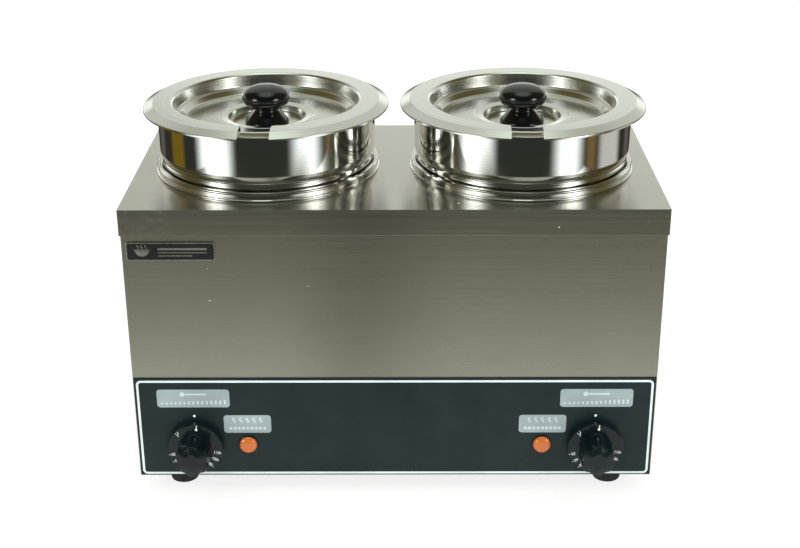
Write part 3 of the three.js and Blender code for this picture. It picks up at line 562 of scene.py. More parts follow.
# Cross-head screws on the host's points, each turned by chance.
def makeScrewTree():
    tree, given, out = newTree("crossHeadScrews", {"Head Radius": 0.004, "Head Height": 0.0024, "Seed": 1,
                                                   "Material": ""})
    dome = addNode(tree, "GeometryNodeMeshUVSphere", {"Segments": 32, "Rings": 20, "Radius": given["Head Radius"]})
    flat = calc(tree, "DIVIDE", given["Head Height"], given["Head Radius"])
    squashed = addNode(tree, "GeometryNodeTransform", {"Geometry": dome.outputs[0], "Scale": vector(tree, 1.0, 1.0, flat)})
    below = addNode(tree, "GeometryNodeMeshCube", {"Size": vector(tree, 0.03, 0.03, 0.03)})
    sunk = addNode(tree, "GeometryNodeTransform", {"Geometry": below.outputs[0], "Translation": (0.0, 0.0, -0.015)})
    length = calc(tree, "MULTIPLY", given["Head Radius"], 1.15)
    width = calc(tree, "MULTIPLY", given["Head Radius"], 0.26)
    deep = calc(tree, "MULTIPLY", given["Head Height"], 1.1)
    arms = [addNode(tree, "GeometryNodeMeshCube", {"Size": vector(tree, *sizes)}).outputs[0]
            for sizes in ((length, width, deep), (width, length, deep))]
    cross = addNode(tree, "GeometryNodeMeshBoolean", operation="UNION")
    for arm in arms:
        tree.links.new(arm, cross.inputs["Mesh 2"])
    lifted = addNode(tree, "GeometryNodeTransform", {"Geometry": cross.outputs[0],
                                                     "Translation": vector(tree, 0.0, 0.0, given["Head Height"])})
    head = addNode(tree, "GeometryNodeMeshBoolean", {"Mesh 1": squashed.outputs[0]}, operation="DIFFERENCE")
    tree.links.new(sunk.outputs[0], head.inputs["Mesh 2"])
    tree.links.new(lifted.outputs[0], head.inputs["Mesh 2"])
    aim = addNode(tree, "FunctionNodeAlignRotationToVector", {"Vector": addNode(tree, "GeometryNodeInputNormal").outputs[0]},
                  axis="Z")
    chance = addNode(tree, "FunctionNodeRandomValue", {"Seed": given["Seed"]}, data_type="FLOAT")
    chance.inputs[3].default_value = math.pi
    spun = addNode(tree, "FunctionNodeRotateRotation", {0: aim.outputs[0]}, rotation_space="LOCAL")
    tree.links.new(vector(tree, 0.0, 0.0, chance.outputs[1]), spun.inputs[1])
    copies = addNode(tree, "GeometryNodeInstanceOnPoints", {"Points": given["Geometry"], "Instance": head.outputs[0],
                                                            "Rotation": spun.outputs[0]})
    return closeTree(tree, copies.outputs[0], given["Material"], out)


# The host's piece repeated round the Y axis through a centre, at an even pitch.
def makeRingTree():
    tree, given, out = newTree("piecesRoundAxis", {"Count": 9, "Start": 0.0, "Pitch": 0.3, "Centre X": 0.0,
                                                   "Centre Z": 0.0, "Material": ""})
    points = addNode(tree, "GeometryNodePoints", {"Count": given["Count"]})
    index = addNode(tree, "GeometryNodeInputIndex")
    turn = calc(tree, "MULTIPLY_ADD", index.outputs[0], given["Pitch"], given["Start"])
    copies = addNode(tree, "GeometryNodeInstanceOnPoints", {"Points": points.outputs[0], "Instance": given["Geometry"],
                                                            "Rotation": vector(tree, 0.0, turn, 0.0)})
    moved = addNode(tree, "GeometryNodeTransform", {"Geometry": copies.outputs[0],
                                                    "Translation": vector(tree, given["Centre X"], 0.0, given["Centre Z"])})
    return closeTree(tree, moved.outputs[0], given["Material"], out)


# The host's piece repeated in a straight row.
def makeRowTree():
    tree, given, out = newTree("piecesInRow", {"Count": 7, "Step X": 0.0, "Step Y": 0.0, "Step Z": 0.009,
                                               "Material": ""})
    points = addNode(tree, "GeometryNodePoints", {"Count": given["Count"]})
    index = addNode(tree, "GeometryNodeInputIndex").outputs[0]
    place = vector(tree, *[calc(tree, "MULTIPLY", index, given["Step " + axis]) for axis in "XYZ"])
    spaced = addNode(tree, "GeometryNodeSetPosition", {"Geometry": points.outputs[0], "Position": place})
    copies = addNode(tree, "GeometryNodeInstanceOnPoints", {"Points": spaced.outputs[0], "Instance": given["Geometry"]})
    return closeTree(tree, copies.outputs[0], given["Material"], out)


gripTree = makeGripTree()
screwTree = makeScrewTree()
ringTree = makeRingTree()
rowTree = makeRowTree()
print("geometry trees made")

# ---- Casing ----
casingEdges = {"deck": 1.1 * mm, "wrap": 0.8 * mm, "back": 0.25 * mm, "floor": 0.25 * mm, "panel": 0.3 * mm}

finish(refined("top_deck", "deckCover", casingEdges["deck"]), "casing", "brushed", finishes["deck"], "top_deck")
finish(refined("body_wrap", "casingWrap", casingEdges["back"], 60), "casing", "brushed", finishes["wrap"], "body_wrap")
finish(refined("back_panel", "backCover", casingEdges["back"]), "casing", "brushed", finishes["back"], "back_panel")
finish(refined("bottom_plate", "floorTray", casingEdges["floor"]), "casing", "zinc", finishes["zinc"], "bottom_plate")
finish(refined("control_panel", "panelOverlay", casingEdges["panel"]), "casing", "panel", finishes["panel"], "control_panel")

louvre = {"count": 7, "pitch": 9.0, "length": 60.0, "width": 4.0, "hood": 3.4, "fromSide": 130.0, "low": 40.0}


# One pressed hood over a slot in the back: a quarter-round shell, open below.
def louvreHood():
    half = louvre["length"] / 2 * mm
    rows, steps = 9, 24
    verts, faces = [], []
    for r in range(rows):
        a = math.radians(90 * r / (rows - 1))
        for s in range(steps + 1):
            u = -1 + 2 * s / steps
            ease = math.sqrt(max(0.0, 1 - abs(u) ** 6))
            y = backFace + louvre["hood"] * mm * math.sin(a) * ease - 0.05 * mm
            z = (louvre["width"] / 2 + 0.6) * mm * (2 * math.cos(a) - 1 + 0.25)
            verts.append(((-1) * u * half * 1.02, y, z))
    for r in range(rows - 1):
        for s in range(steps):
            i = r * (steps + 1) + s
            faces.append((i, i + 1, i + steps + 2, i + steps + 1))
    hood = meshObject("louvreHoods", verts, faces)
    skin = hood.modifiers.new("wall", "SOLIDIFY")
    skin.thickness = 0.6 * mm
    settle(hood)
    outward(hood)
    x = panelLow.x - 2 * mm + louvre["fromSide"] * mm
    hood.data.transform(Matrix.Translation((x, 0, panelLow.z + louvre["low"] * mm)))
    return hood


hoods = runTree(louvreHood(), rowTree, Count=louvre["count"], StepZ=louvre["pitch"] * mm, Material=finishes["back"])
finish(shade(hoods), "casing", "brushed", finishes["back"])
print("casing made")

# ---- Front panel print ----
printed = {"border": 2.0, "inset": 2.0, "low": 1.2, "high": 2.2, "corner": 4.5, "width": 2.1, "raise": 0.06}
labels = {
    "scale": {"x": 184.6, "z": 81.0, "width": 66.5, "height": 18.4, "rows": (4.2, -3.8)},
    "lamp": {"x": 136.0, "z": 54.3, "width": 43.6, "height": 18.4, "rows": (4.0, -4.4)},
    "corner": 3.0, "thickness": 0.18,
}
indexDot = {"z": 62.7, "radius": 1.25}


def panelPlace(x, z):
    return x * mm, panelLow.z + z * mm


def printBorder():
    x1 = panelHigh.x - printed["inset"] * mm
    z0 = panelLow.z + printed["low"] * mm
    z1 = panelHigh.z - printed["high"] * mm
    w = printed["width"] * mm
    r = printed["corner"] * mm
    outer = roundRect(-x1, z0, x1, z1, r)
    inner = roundRect(-x1 + w, z0 + w, x1 - w, z1 - w, r - w)
    return plate("panelBorder", outer, panelLow.y, printed["raise"] * mm, [inner])


finish(printBorder(), "casing", "panel", finishes["border"])

for sideName, side in sides.items():
    ink = []
    face = panelLow.y - labels["thickness"] * mm
    for key in ("scale", "lamp"):
        size = labels[key]
        cx, cz = panelPlace(side * size["x"], size["z"])
        w, h = size["width"] * mm / 2, size["height"] * mm / 2
        label = plate(f"{key}Label_{sideName}", roundRect(cx - w, cz - h, cx + w, cz + h, labels["corner"] * mm),
                      panelLow.y, labels["thickness"] * mm)
        finish(shade(softEdges(label, 0.08 * mm, 50, 2)), "casing", "panel", finishes["label"])
        top, low = size["rows"]
        if key == "scale":  # a thermometer above a row of rising bars
            ink.append(inkLine([(cx - 7.2 * mm, cz + top * mm), (cx + 12 * mm, cz + top * mm)], 1.8 * mm))
            ink.append(disc(cx - 10 * mm, cz + top * mm, 2.3 * mm))
            for bar in range(15):
                x = cx + (bar - 7) * 4.1 * mm
                ink.append(inkLine([(x, cz + (low - 2.3) * mm), (x, cz + (low - 0.6 + 0.2 * bar) * mm)], 1.7 * mm))
        else:  # three waves of heat over a heated plate
            for wave in (-2, -1, 0, 1, 2):
                x = cx + wave * 6.2 * mm
                ink.append(inkLine([(x + 1.2 * mm * math.sin(t * 0.7), cz + (top - 2.4 + 0.5 * t) * mm) for t in range(11)],
                                   1.1 * mm))
            for bar in range(9):
                x = cx + (bar - 4) * 3.9 * mm
                ink.append(inkLine([(x - 1.3 * mm, cz + low * mm), (x + 1.3 * mm, cz + low * mm)], 2.6 * mm))
    marks = [plate(f"ink{i}", outline, face, 0.05 * mm) for i, outline in enumerate(ink)]
    dotX, dotZ = panelPlace(side * labels["scale"]["x"], indexDot["z"])
    marks.append(plate(f"indexDot_{sideName}", disc(dotX, dotZ, indexDot["radius"] * mm), panelLow.y, 0.06 * mm))
    dot = marks.pop()
    finish(outward(joined(f"labelMarks_{sideName}", marks)), "casing", "panel", finishes["faintInk"])
    finish(dot, "casing", "panel", finishes["ink"])

# ---- Badge ----
badgeSize = {"rim": 0.9, "corner": 2.2, "rise": 0.35}


def badgeOutline(inset):
    r = max(0.4, badgeSize["corner"] - inset) * mm
    i = inset * mm
    return roundRect(badgeLow.x + i, badgeLow.z + i, badgeHigh.x - i, badgeHigh.z - i, r)


def badgeMarks():
    cx = badgeLow.x + 14 * mm
    cz = (badgeLow.z + badgeHigh.z) / 2
    front = badgeLow.y
    bowl = [(cx - 6 * mm, cz + 0.3 * mm)]
    bowl += [(cx + 6 * mm * math.cos(a), cz + 0.3 * mm + 5.0 * mm * math.sin(a))
             for a in [math.pi + math.pi * s / 16 for s in range(1, 17)]]
    lines = [bowl, inkLine([(cx - 7.2 * mm, cz + 1.3 * mm), (cx + 7.2 * mm, cz + 1.3 * mm)], 0.9 * mm)]
    for wave in (-1, 0, 1):
        lines.append(inkLine([(cx + (wave * 3.4 + 0.7 * math.sin(t * 0.8)) * mm, cz + (2.4 + 0.45 * t) * mm)
                              for t in range(9)], 0.8 * mm))
    for row, length in ((2.2, 43), (-1.2, 43), (-4.2, 30)):
        thick = 2.0 if row > 0 else 0.9
        start = cx + 14 * mm
        lines.append(inkLine([(start, cz + row * mm), (start + length * mm, cz + row * mm)], thick * mm))
    return outward(joined("badgeMarks", [plate(f"mark{i}", line, front, 0.15 * mm) for i, line in enumerate(lines)]))


badge = plate("badgePlate", badgeOutline(0), badgeHigh.y, badgeHigh.y - badgeLow.y)
finish(shade(softEdges(badge, 0.2 * mm, 50, 2)), "casing", "badge", finishes["badge"], "badge_plate")
rim = plate("badgeRim", badgeOutline(0.15), badgeLow.y, badgeSize["rise"] * mm, [badgeOutline(badgeSize["rim"])])
finish(shade(softEdges(rim, 0.1 * mm, 50, 2)), "casing", "badge", finishes["silver"])
finish(badgeMarks(), "casing", "badge", finishes["silver"])
print("front print and badge made")

# ---- Wells, pots and lids: profiles in millimetres ----
potLow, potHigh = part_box("pot_right")
wellLow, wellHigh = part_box("well_right")
lidLow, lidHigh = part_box("lid_right")
collarTop = wellHigh.z / mm
deckLevel = deckTop / mm
potTop = potHigh.z / mm
potFloor = potLow.z / mm
potRimRadius = (potHigh.x - potLow.x) / 2 / mm
neckRadius = potRimRadius - 2.6
bodyRadius = neckRadius - 6
lidRadius = (lidHigh.x - lidLow.x) / 2 / mm
lidTop = lidHigh.z / mm
stud = {"radius": 3.0, "length": 22.0}
wellFloor = wellLow.z / mm + stud["length"]
lidTurns = {"left": -1.0, "right": -2.0}


def wellProfile():
    inner = bodyRadius + 2.5
    outer = inner + 1
    return rounded([
        (0, wellFloor - stud["length"]), (stud["radius"], wellFloor - stud["length"], 0.6),
        (stud["radius"], wellFloor, 0.4), (outer - 1, wellFloor, 12), (outer, collarTop - 3, 0.4),
        (inner + 5.5, collarTop - 3.2, 0.3), (inner + 5.5, deckLevel + 0.4, 0.2), (inner + 7.5, deckLevel + 0.3, 0.2),
        (inner + 7.5, deckLevel + 1.3, 0.5), (inner + 6.5, deckLevel + 2.0, 0.7), (inner + 6.1, collarTop - 2.8, 0.8),
        (inner + 6.5, collarTop - 1.6, 0.7), (inner + 5.6, collarTop - 0.2, 1.0), (inner + 3.6, collarTop, 1.2),
        (inner + 1.4, collarTop - 0.9, 1.0), (inner, collarTop - 3.4, 1.2), (inner, wellFloor + 1, 13),
        (0, wellFloor + 1),
    ])


def potProfile():
    seat = collarTop + 0.3
    n, b = neckRadius, bodyRadius
    return rounded([
        (0, potFloor), (b, potFloor, 12), (b, seat + 0.1, 0.6), (n - 3.4, seat + 0.1, 0.5), (n - 2.0, seat + 0.9, 0.8),
        (n - 1.7, seat + 3.0, 0.8), (n - 2.6, seat + 4.6, 0.7), (n - 2.4, seat + 5.4, 1.0), (n - 0.6, seat + 9.0, 5.0),
        (n, seat + 13.0, 4.0), (n, potTop - 5.6, 0.3), (n + 1.1, potTop - 5.4, 0.5), (n + 2.3, potTop - 4.3, 1.0),
        (n + 2.6, potTop - 2.2, 1.2), (n + 2.2, potTop - 0.3, 1.2), (n + 0.6, potTop, 0.8), (n - 0.9, potTop - 0.4, 0.7),
        (n - 1.0, potTop - 2.0, 0.6), (n - 1.0, seat + 13.0, 4.0), (n - 1.6, seat + 9.2, 5.0), (n - 3.6, seat + 5.0, 2.0),
        (b - 1, seat + 1.0, 2.0), (b - 1, potFloor + 1, 11), (0, potFloor + 1),
    ])


def lidProfile():
    top = lidTop
    dishFloor = top - 23
    disc0 = top - 17.5
    inner = lidRadius - 26
    face = rounded([
        (2.4, dishFloor + 0.05), (35.4, dishFloor, 1.2), (35.8, top - 16.6, 0.8), (42.4, top - 16.0, 0.4),
        (43.2, top - 16.35, 0.4), (44.0, top - 16.0, 0.6), (60, disc0 + 1.0, 14), (inner - 11.5, disc0 + 0.2, 3.0),
        (inner - 6.4, top - 12.2, 1.8), (inner - 3.6, top - 12.0, 1.6), (inner - 1.4, top - 1.6, 1.8), (inner + 0.4, top, 1.6),
        (lidRadius - 8.6, top, 1.4), (lidRadius, top - 4.4, 1.0), (lidRadius, top - 6, 0),
    ])
    edge = lidRadius - 1
    under = [Vector((r + 0.35, z - 1)) for r, z in face if r + 0.5 < edge]
    return face + [Vector((edge, top - 6)), Vector((edge, top - 5.3))] + under[::-1]


def notchCutter(sideName, side):
    width, length, depth, corner = 27.5, 30.5, 9.0, 1.6
    x1, y0, y1 = width / 2 * mm, -(lidRadius + 6) * mm, (length - lidRadius) * mm
    outline = roundRect(-x1, y0, x1, y1, corner * mm)
    low, high = (lidTop - depth) * mm, (lidTop + 6) * mm
    count = len(outline)
    verts = [(x, y, low) for x, y in outline] + [(x, y, high) for x, y in outline]
    faces = [list(range(count))[::-1], list(range(count, 2 * count))]
    faces += [[i, (i + 1) % count, count + (i + 1) % count, count + i] for i in range(count)]
    cutter = outward(meshObject("notchCutter", verts, faces))
    turn = Matrix.Rotation(math.radians(lidTurns[sideName]), 4, "Z")
    cutter.data.transform(Matrix.Translation((side * wellX, wellY, 0)) @ turn)
    return cutter


def makeLid(sideName, side):
    shell = revolve(f"lid_{sideName}", lidProfile(), Vector((side * wellX, wellY, 0)), 180, True)
    cutter = notchCutter(sideName, side)
    cut = shell.modifiers.new("notch", "BOOLEAN")
    cut.operation = "DIFFERENCE"
    cut.object = cutter
    cut.solver = "EXACT"
    settle(shell)
    bpy.data.objects.remove(cutter)
    outward(shell, 1e-5)
    return shade(softEdges(shell, 0.22 * mm, 45, 2))


def lidKnobProfile():
    low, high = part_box("lid_knob_right")
    base, top = low.z / mm, high.z / mm
    ball, half = 22.6, 11.5
    centre = top - half
    points = [(0, base + 0.4), (18.4, base + 0.4), (19.8, base + 0.1), (20.3, base + 0.6), (20.2, base + 1.4)]
    bell = [(18.9, 3.0), (17.0, 5.2), (14.8, 7.7), (13.0, 9.9), (11.8, 11.5), (11.2, 12.6), (11.3, 13.4)]
    points += [(r, base + z) for r, z in bell]
    for step in range(0, 30):
        a = math.radians(-56 + 146 * step / 29)
        r, z = ball * math.cos(a) ** 0.92 if a < math.pi / 2 else 0, centre + half * math.sin(a)
        points.append((max(r, 0), z))
        if step == 7:  # mould line under the ball's middle
            points += [(r * 1.001, z + 0.15), (r * 1.012, z + 0.3), (r * 1.012, z + 0.6)]
    points[-1] = (0, top)
    return points


for sideName, side in sides.items():
    axis = Vector((side * wellX, wellY, 0))
    finish(shade(revolve(f"well_{sideName}", wellProfile(), axis, 180)), "casing", "polished",
           finishes["collar"], f"well_{sideName}")
    finish(shade(revolve(f"pot_{sideName}", potProfile(), axis, 200)), f"pot_{sideName}", "polished",
           finishes["pot"], f"pot_{sideName}")
    finish(makeLid(sideName, side), f"lid_{sideName}", "satin", finishes["lid"], f"lid_{sideName}")
    finish(shade(revolve(f"lidKnob_{sideName}", lidKnobProfile(), axis, 96), 60, False), f"lid_{sideName}", "black",
           finishes["knob"], f"lid_knob_{sideName}")
print("wells, pots and lids made")

# ---- Dials ----
dial = {"skirt": 25.6, "standOff": 2.0, "depth": 8.0, "slope": 0.065, "reach": 34.0, "grip": 15.8, "tip": 0.985,
        "flute": 0.135, "ridge": 0.3, "faceRadius": 8.6, "faceSlope": 1.1, "turn": 1.5}
scale = {"first": 30, "last": 110, "step": 10, "from": 103.0, "to": 261.0, "radius": 20.4, "height": 2.9,
         "tickRadius": 24.0, "tickLength": 1.3, "tickWidth": 0.5, "thickness": 0.06}


# Distance of the skirt's face in front of the panel, at a radius in millimetres.
def skirtFace(radius):
    return dial["standOff"] + dial["depth"] + (dial["skirt"] - radius) * dial["slope"]


def skirtProfile():
    rim = dial["skirt"]
    front = [(r, skirtFace(r)) for r in (rim - 0.7, 22.0, 19.0, 16.0)]
    return rounded([(0, dial["standOff"] + 0.6), (rim - 1.2, dial["standOff"] + 0.6, 0.4),
                    (rim - 0.4, dial["standOff"] + 0.3, 0.4), (rim, dial["standOff"] + 1.0, 0.5),
                    (rim, skirtFace(rim) - 0.8, 0.25), (*front[0], 0.25), *front[1:], (0, skirtFace(16) + 0.5)])


# Turns a piece made about Z, with height as distance in front of the panel, to face the front at a dial.
def faceFront(obj, x, z):
    turn = Matrix(((1, 0, 0, x), (0, 0, -1, panelLow.y), (0, 1, 0, z), (0, 0, 0, 1)))
    obj.data.transform(turn)
    return outward(obj)


def gripSpine(name, x, z):
    reach, grip = dial["reach"], dial["grip"]
    start = skirtFace(grip) - 0.5
    tip = grip * dial["tip"]
    fall = dial["faceSlope"]
    points = [(start, grip + 0.9), (start + 0.8, grip + 0.35), (start + 1.8, grip + 0.05), (start + 2.6, grip),
              (reach - fall - 6, tip), (reach - fall - 1.0, tip)]
    points += [(reach - fall - 0.7 + 0.7 * math.sin(a), tip - 0.7 + 0.7 * math.cos(a))
               for a in [math.radians(d) for d in (15, 32, 50, 68)]]
    points += [(reach - 0.35, dial["faceRadius"] + 0.9), (reach - 0.08, dial["faceRadius"] + 0.2),
               (reach, dial["faceRadius"] - 0.6), (reach, 2.0)]
    curve = bpy.data.curves.new(name, "CURVE")
    curve.dimensions = "3D"
    line = curve.splines.new("POLY")
    line.points.add(len(points) - 1)
    for point, (distance, radius) in zip(line.points, points):
        point.co = (x, panelLow.y - distance * mm, z, 1)
        point.radius = radius * mm
    return linkObject(name, curve)


def makeGrip(name, x, z):
    return runTree(gripSpine(name, x, z), gripTree, Lobes=6, FluteDepth=dial["flute"], RidgeShare=dial["ridge"],
                   Turn=math.radians(dial["turn"]), Resolution=240, Material=finishes["dial"])


def number(text, height):
    curve = bpy.data.curves.new("number", "FONT")
    curve.body = text
    curve.size = height * 1.4 * mm
    curve.align_x = "CENTER"
    curve.align_y = "CENTER"
    curve.offset = 0.03 * mm
    curve.extrude = scale["thickness"] / 2 * mm
    curve.resolution_u = 3
    return settle(linkObject("number", curve))


def flatMark(name, outline):
    count = len(outline)
    half = scale["thickness"] / 2 * mm
    verts = [(x * mm, y * mm, -half) for x, y in outline] + [(x * mm, y * mm, half) for x, y in outline]
    faces = [list(range(count)), list(range(count, 2 * count))[::-1]]
    faces += [[i, (i + 1) % count, count + (i + 1) % count, count + i] for i in range(count)]
    return meshObject(name, verts, faces)


# Lays a mark made in XY on the skirt, reading outwards, at an angle counted anticlockwise from the top.
def onSkirt(mark, angle, radius, x, z):
    a = math.radians(angle)
    for vert in mark.data.vertices:
        out, aside = radius + vert.co.x / mm, vert.co.y / mm
        px = -out * math.sin(a) - aside * math.cos(a)
        pz = out * math.cos(a) - aside * math.sin(a)
        lift = skirtFace(math.hypot(px, pz)) + 0.04 + vert.co.z / mm
        vert.co = (x + px * mm, panelLow.y - lift * mm, z + pz * mm)
    return mark


def dialMarks(sideName, x, z):
    pointer = -6.5
    marks = [onSkirt(flatMark("pointer", inkLine([(-1.9, 0), (1.7, 0)], 0.75)), pointer, 23.5, x, z),
             onSkirt(flatMark("pointerDot", disc(0, 0, 1.15)), pointer, 21.0, x, z),
             onSkirt(number("°C", 3.1), 42, 21.9, x, z)]
    values = range(scale["first"], scale["last"] + 1, scale["step"])
    pitch = (scale["to"] - scale["from"]) / (len(values) - 1)
    for i, value in enumerate(values):
        marks.append(onSkirt(number(str(value), scale["height"]), scale["from"] + i * pitch, scale["radius"], x, z))
    middle, half = scale["tickRadius"], scale["tickLength"] / 2
    tick = flatMark("tick", inkLine([(0, middle - half), (0, middle + half)], scale["tickWidth"]))
    for vert in tick.data.vertices:
        vert.co = (vert.co.x, panelLow.y - (skirtFace(middle) + 0.04) * mm - vert.co.z, vert.co.y)
    ticks = runTree(tick, ringTree, Count=len(values), Start=math.radians(-scale["from"]), Pitch=math.radians(-pitch),
                    CentreX=x, CentreZ=z, Material=finishes["ink"])
    return outward(joined(f"dialMarks_{sideName}", marks + [ticks]), 1e-7)


for sideName, side in sides.items():
    x = side * dialX
    skirt = faceFront(revolve(f"dialSkirt_{sideName}", skirtProfile(), Vector((0, 0, 0)), 128), x, dialZ)
    grip = makeGrip(f"dialGrip_{sideName}", x, dialZ)
    outward(grip)
    finish(shade(skirt), f"dial_{sideName}", "black", finishes["dial"], f"dial_knob_{sideName}")
    finish(shade(grip, 50, False), f"dial_{sideName}", "black", finishes["dial"])
    finish(dialMarks(sideName, x, dialZ), f"dial_{sideName}", "black", finishes["ink"])
print("dials made")

# ---- Lamps ----
lampSize = {"lens": 8.3, "bezel": 8.8, "reach": 5.0}

for sideName, side in sides.items():
    lens = [(0, lampSize["reach"]), (3.4, 4.85, 2), (6.2, 4.2, 2), (7.6, 3.2, 1.4), (lampSize["lens"] - 0.1, 1.8, 0.8),
            (lampSize["lens"], 0.4), (4.2, 0.4), (4.2, 2.4), (0, 2.4)]
    piece = faceFront(revolve(f"lampLens_{sideName}", rounded(lens), Vector((0, 0, 0)), 72), side * lampX, dialZ)
    finish(shade(piece), "casing", "lens", finishes["lens"], f"lamp_lens_{sideName}")
    bezel = [(lampSize["lens"] - 0.2, 0.1), (lampSize["bezel"] + 0.2, 0.1, 0.3), (lampSize["bezel"] + 0.1, 1.1, 0.4),
             (lampSize["lens"] + 0.1, 1.4, 0.3), (lampSize["lens"] - 0.1, 1.0)]
    ring = faceFront(revolve(f"lampBezel_{sideName}", rounded(bezel, True), Vector((0, 0, 0)), 72, True), side * lampX, dialZ)
    finish(shade(ring), "casing", "black", finishes["dial"])

# ---- Feet, screws and gland ----
footSize = {"sole": 12.6, "top": 14.0}

for corner in ("front_left", "front_right", "back_left", "back_right"):
    low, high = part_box("foot_" + corner)
    h = (high.z - low.z) / mm
    s, t = footSize["sole"], footSize["top"]
    shape = rounded([(5.6, 0.6, 0.3), (5.9, 0.0, 0.3), (s, 0.0, 0.5), (s + 0.5, 1.2, 0.8), (t - 0.6, 0.5 * h, 0.8),
                     (t - 0.9, 0.5 * h + 0.6, 0.3), (t - 0.5, 0.5 * h + 1.2, 0.3), (t - 0.1, h - 2.6, 1.0),
                     (t, h - 0.6, 0.6), (t - 0.8, h, 0.4), (2.8, h, 0.2), (2.8, 9.2, 0.3), (5.6, 9.0, 0.4)], True)
    middle = (low + high) / 2
    finish(shade(revolve("rubberFoot_" + corner, shape, Vector((middle.x, middle.y, low.z)), 72, True)), "casing",
           "rubber", finishes["rubber"], "foot_" + corner)


# One small face for each screw: its middle is the head's seat, and its normal points out.
def screwSeats(name, seats, normal):
    side = Vector(normal).orthogonal().normalized() * 1e-5
    across = Vector(normal).cross(side)
    verts, faces = [], []
    for seat in seats:
        start = len(verts)
        verts += [Vector(seat) + side, Vector(seat) + across, Vector(seat) - side - across]
        faces.append((start, start + 1, start + 2))
    return meshObject(name, verts, faces)


backScrew = {"radius": 4.0, "height": 2.4}
footScrew = {"radius": 4.5, "height": 3.0}
backScrews = ["back_screw_" + c for c in ("bottom_left", "bottom_right", "top_left", "top_right")]
footScrews = ["foot_screw_" + c for c in ("front_left", "front_right", "back_left", "back_right")]


def screwHeads(name, nodes, size, seed):
    seats, normal = [], (0, 1, 0) if nodes is backScrews else (0, 0, -1)
    for node in nodes:
        low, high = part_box(node)
        middle = (low + high) / 2
        if nodes is backScrews:
            seats.append((middle.x, high.y - size["height"] * mm, middle.z))
        else:
            seats.append((middle.x, middle.y, low.z + size["height"] * mm))
    heads = runTree(screwSeats(name, seats, normal), screwTree, HeadRadius=size["radius"] * mm,
                    HeadHeight=size["height"] * mm, Seed=seed, Material=finishes["zinc"])
    return shade(heads, 30, False)


finish(screwHeads("backScrewHeads", backScrews, backScrew, 3), "casing", "zinc", finishes["zinc"], *backScrews)
finish(screwHeads("footScrewHeads", footScrews, footScrew, 5), "casing", "zinc", finishes["zinc"], *footScrews)

glandSize = {"radius": 11.0, "collar": 12.5, "bore": 5.0, "ribs": 28, "ribDepth": 1.1, "ribWidth": 1.0, "ribLength": 8.0}


def makeGland():
    low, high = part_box("cable_gland")
    x, z = (low.x + high.x) / 2, (low.z + high.z) / 2
    face, end = backFace / mm, high.y / mm
    r, c, b = glandSize["radius"], glandSize["collar"], glandSize["bore"]
    shape = rounded([(b, face - 9), (7.6, face - 9, 0.3), (7.6, face, 0.1), (c, face, 0.3), (c, face + 5.6, 0.6),
                     (r - 0.5, face + 6.4, 0.4), (r - 0.5, end - 5.2, 1.2), (0.72 * r, end, 1.2), (b, end - 0.4, 0.4)], True)
    body = revolve("cableGland", shape, Vector((0, 0, 0)), 96, True)
    body.data.transform(Matrix(((1, 0, 0, x), (0, 0, 1, 0), (0, 1, 0, z), (0, 0, 0, 1))))
    half, y0 = glandSize["ribWidth"] / 2, face + 6.9
    outer = r + glandSize["ribDepth"] - 0.6
    corners = [(-half, r - 1.2), (half, r - 1.2), (0.6 * half, outer), (-0.6 * half, outer)]
    verts = [(u * mm, y * mm, w * mm) for y in (y0, y0 + glandSize["ribLength"]) for u, w in corners]
    faces = [(0, 1, 2, 3), (7, 6, 5, 4)] + [(i, 4 + i, 4 + (i + 1) % 4, (i + 1) % 4) for i in range(4)]
    rib = outward(meshObject("rib", verts, faces))
    ribs = runTree(rib, ringTree, Count=glandSize["ribs"], Pitch=2 * math.pi / glandSize["ribs"], CentreX=x, CentreZ=z,
                   Material=finishes["gland"])
    return shade(outward(joined("cableGland", [outward(body), ribs])))


finish(makeGland(), "casing", "black", finishes["gland"], "cable_gland")
print("feet made")

# ---- CAD nodes that stay ----
kept = {"heater_clamp": "zinc", "clamp_nut": "zinc", "bulb_clip": "zinc", "heater": "heater", "lid_screw": "zinc",
        "thermostat_shaft": "brass", "thermostat": "ceramic", "lamp_body": "gland", "capillary": "copper",
        "terminal_block": "ceramic", "earth_stud": "brass", "gland_nut": "gland", "wire_live": "live", "wire_neutral": "neutral",
        "wire_load": "load", "wire_earth": "earth"}
for prefix, key in kept.items():
    for name, obj in cadNodes.items():
        if name.startswith(prefix):
            obj.data.materials.clear()
            obj.data.materials.append(finishes[key])

# ---- Studio ----
def angleBand(tree, value, low, high, soft):
    rise = ramp(tree, value, low - soft, low + soft)
    fall = ramp(tree, value, high - soft, high + soft, 1.0, 0.0)
    return calc(tree, "MULTIPLY", rise, fall)


def makeFloor():
    floor = meshObject("floor", [(-6, -6, 0), (6, -6, 0), (6, 6, 0), (-6, 6, 0)], [(0, 1, 2, 3)])
    material, tree, shader = newMaterial("floorWhite", (0.25, 0.25, 0.25), 0.9)
    shader["Emission Color"].default_value = (1, 1, 1, 1)
    shader["Emission Strength"].default_value = 0.8
    floor.data.materials.append(material)
    floor.visible_glossy = False


card = {"near": -0.135, "far": -0.95, "side": 0.75, "near radiance": (0.72, 0.75, 0.70), "far radiance": (0.17, 0.165, 0.11)}


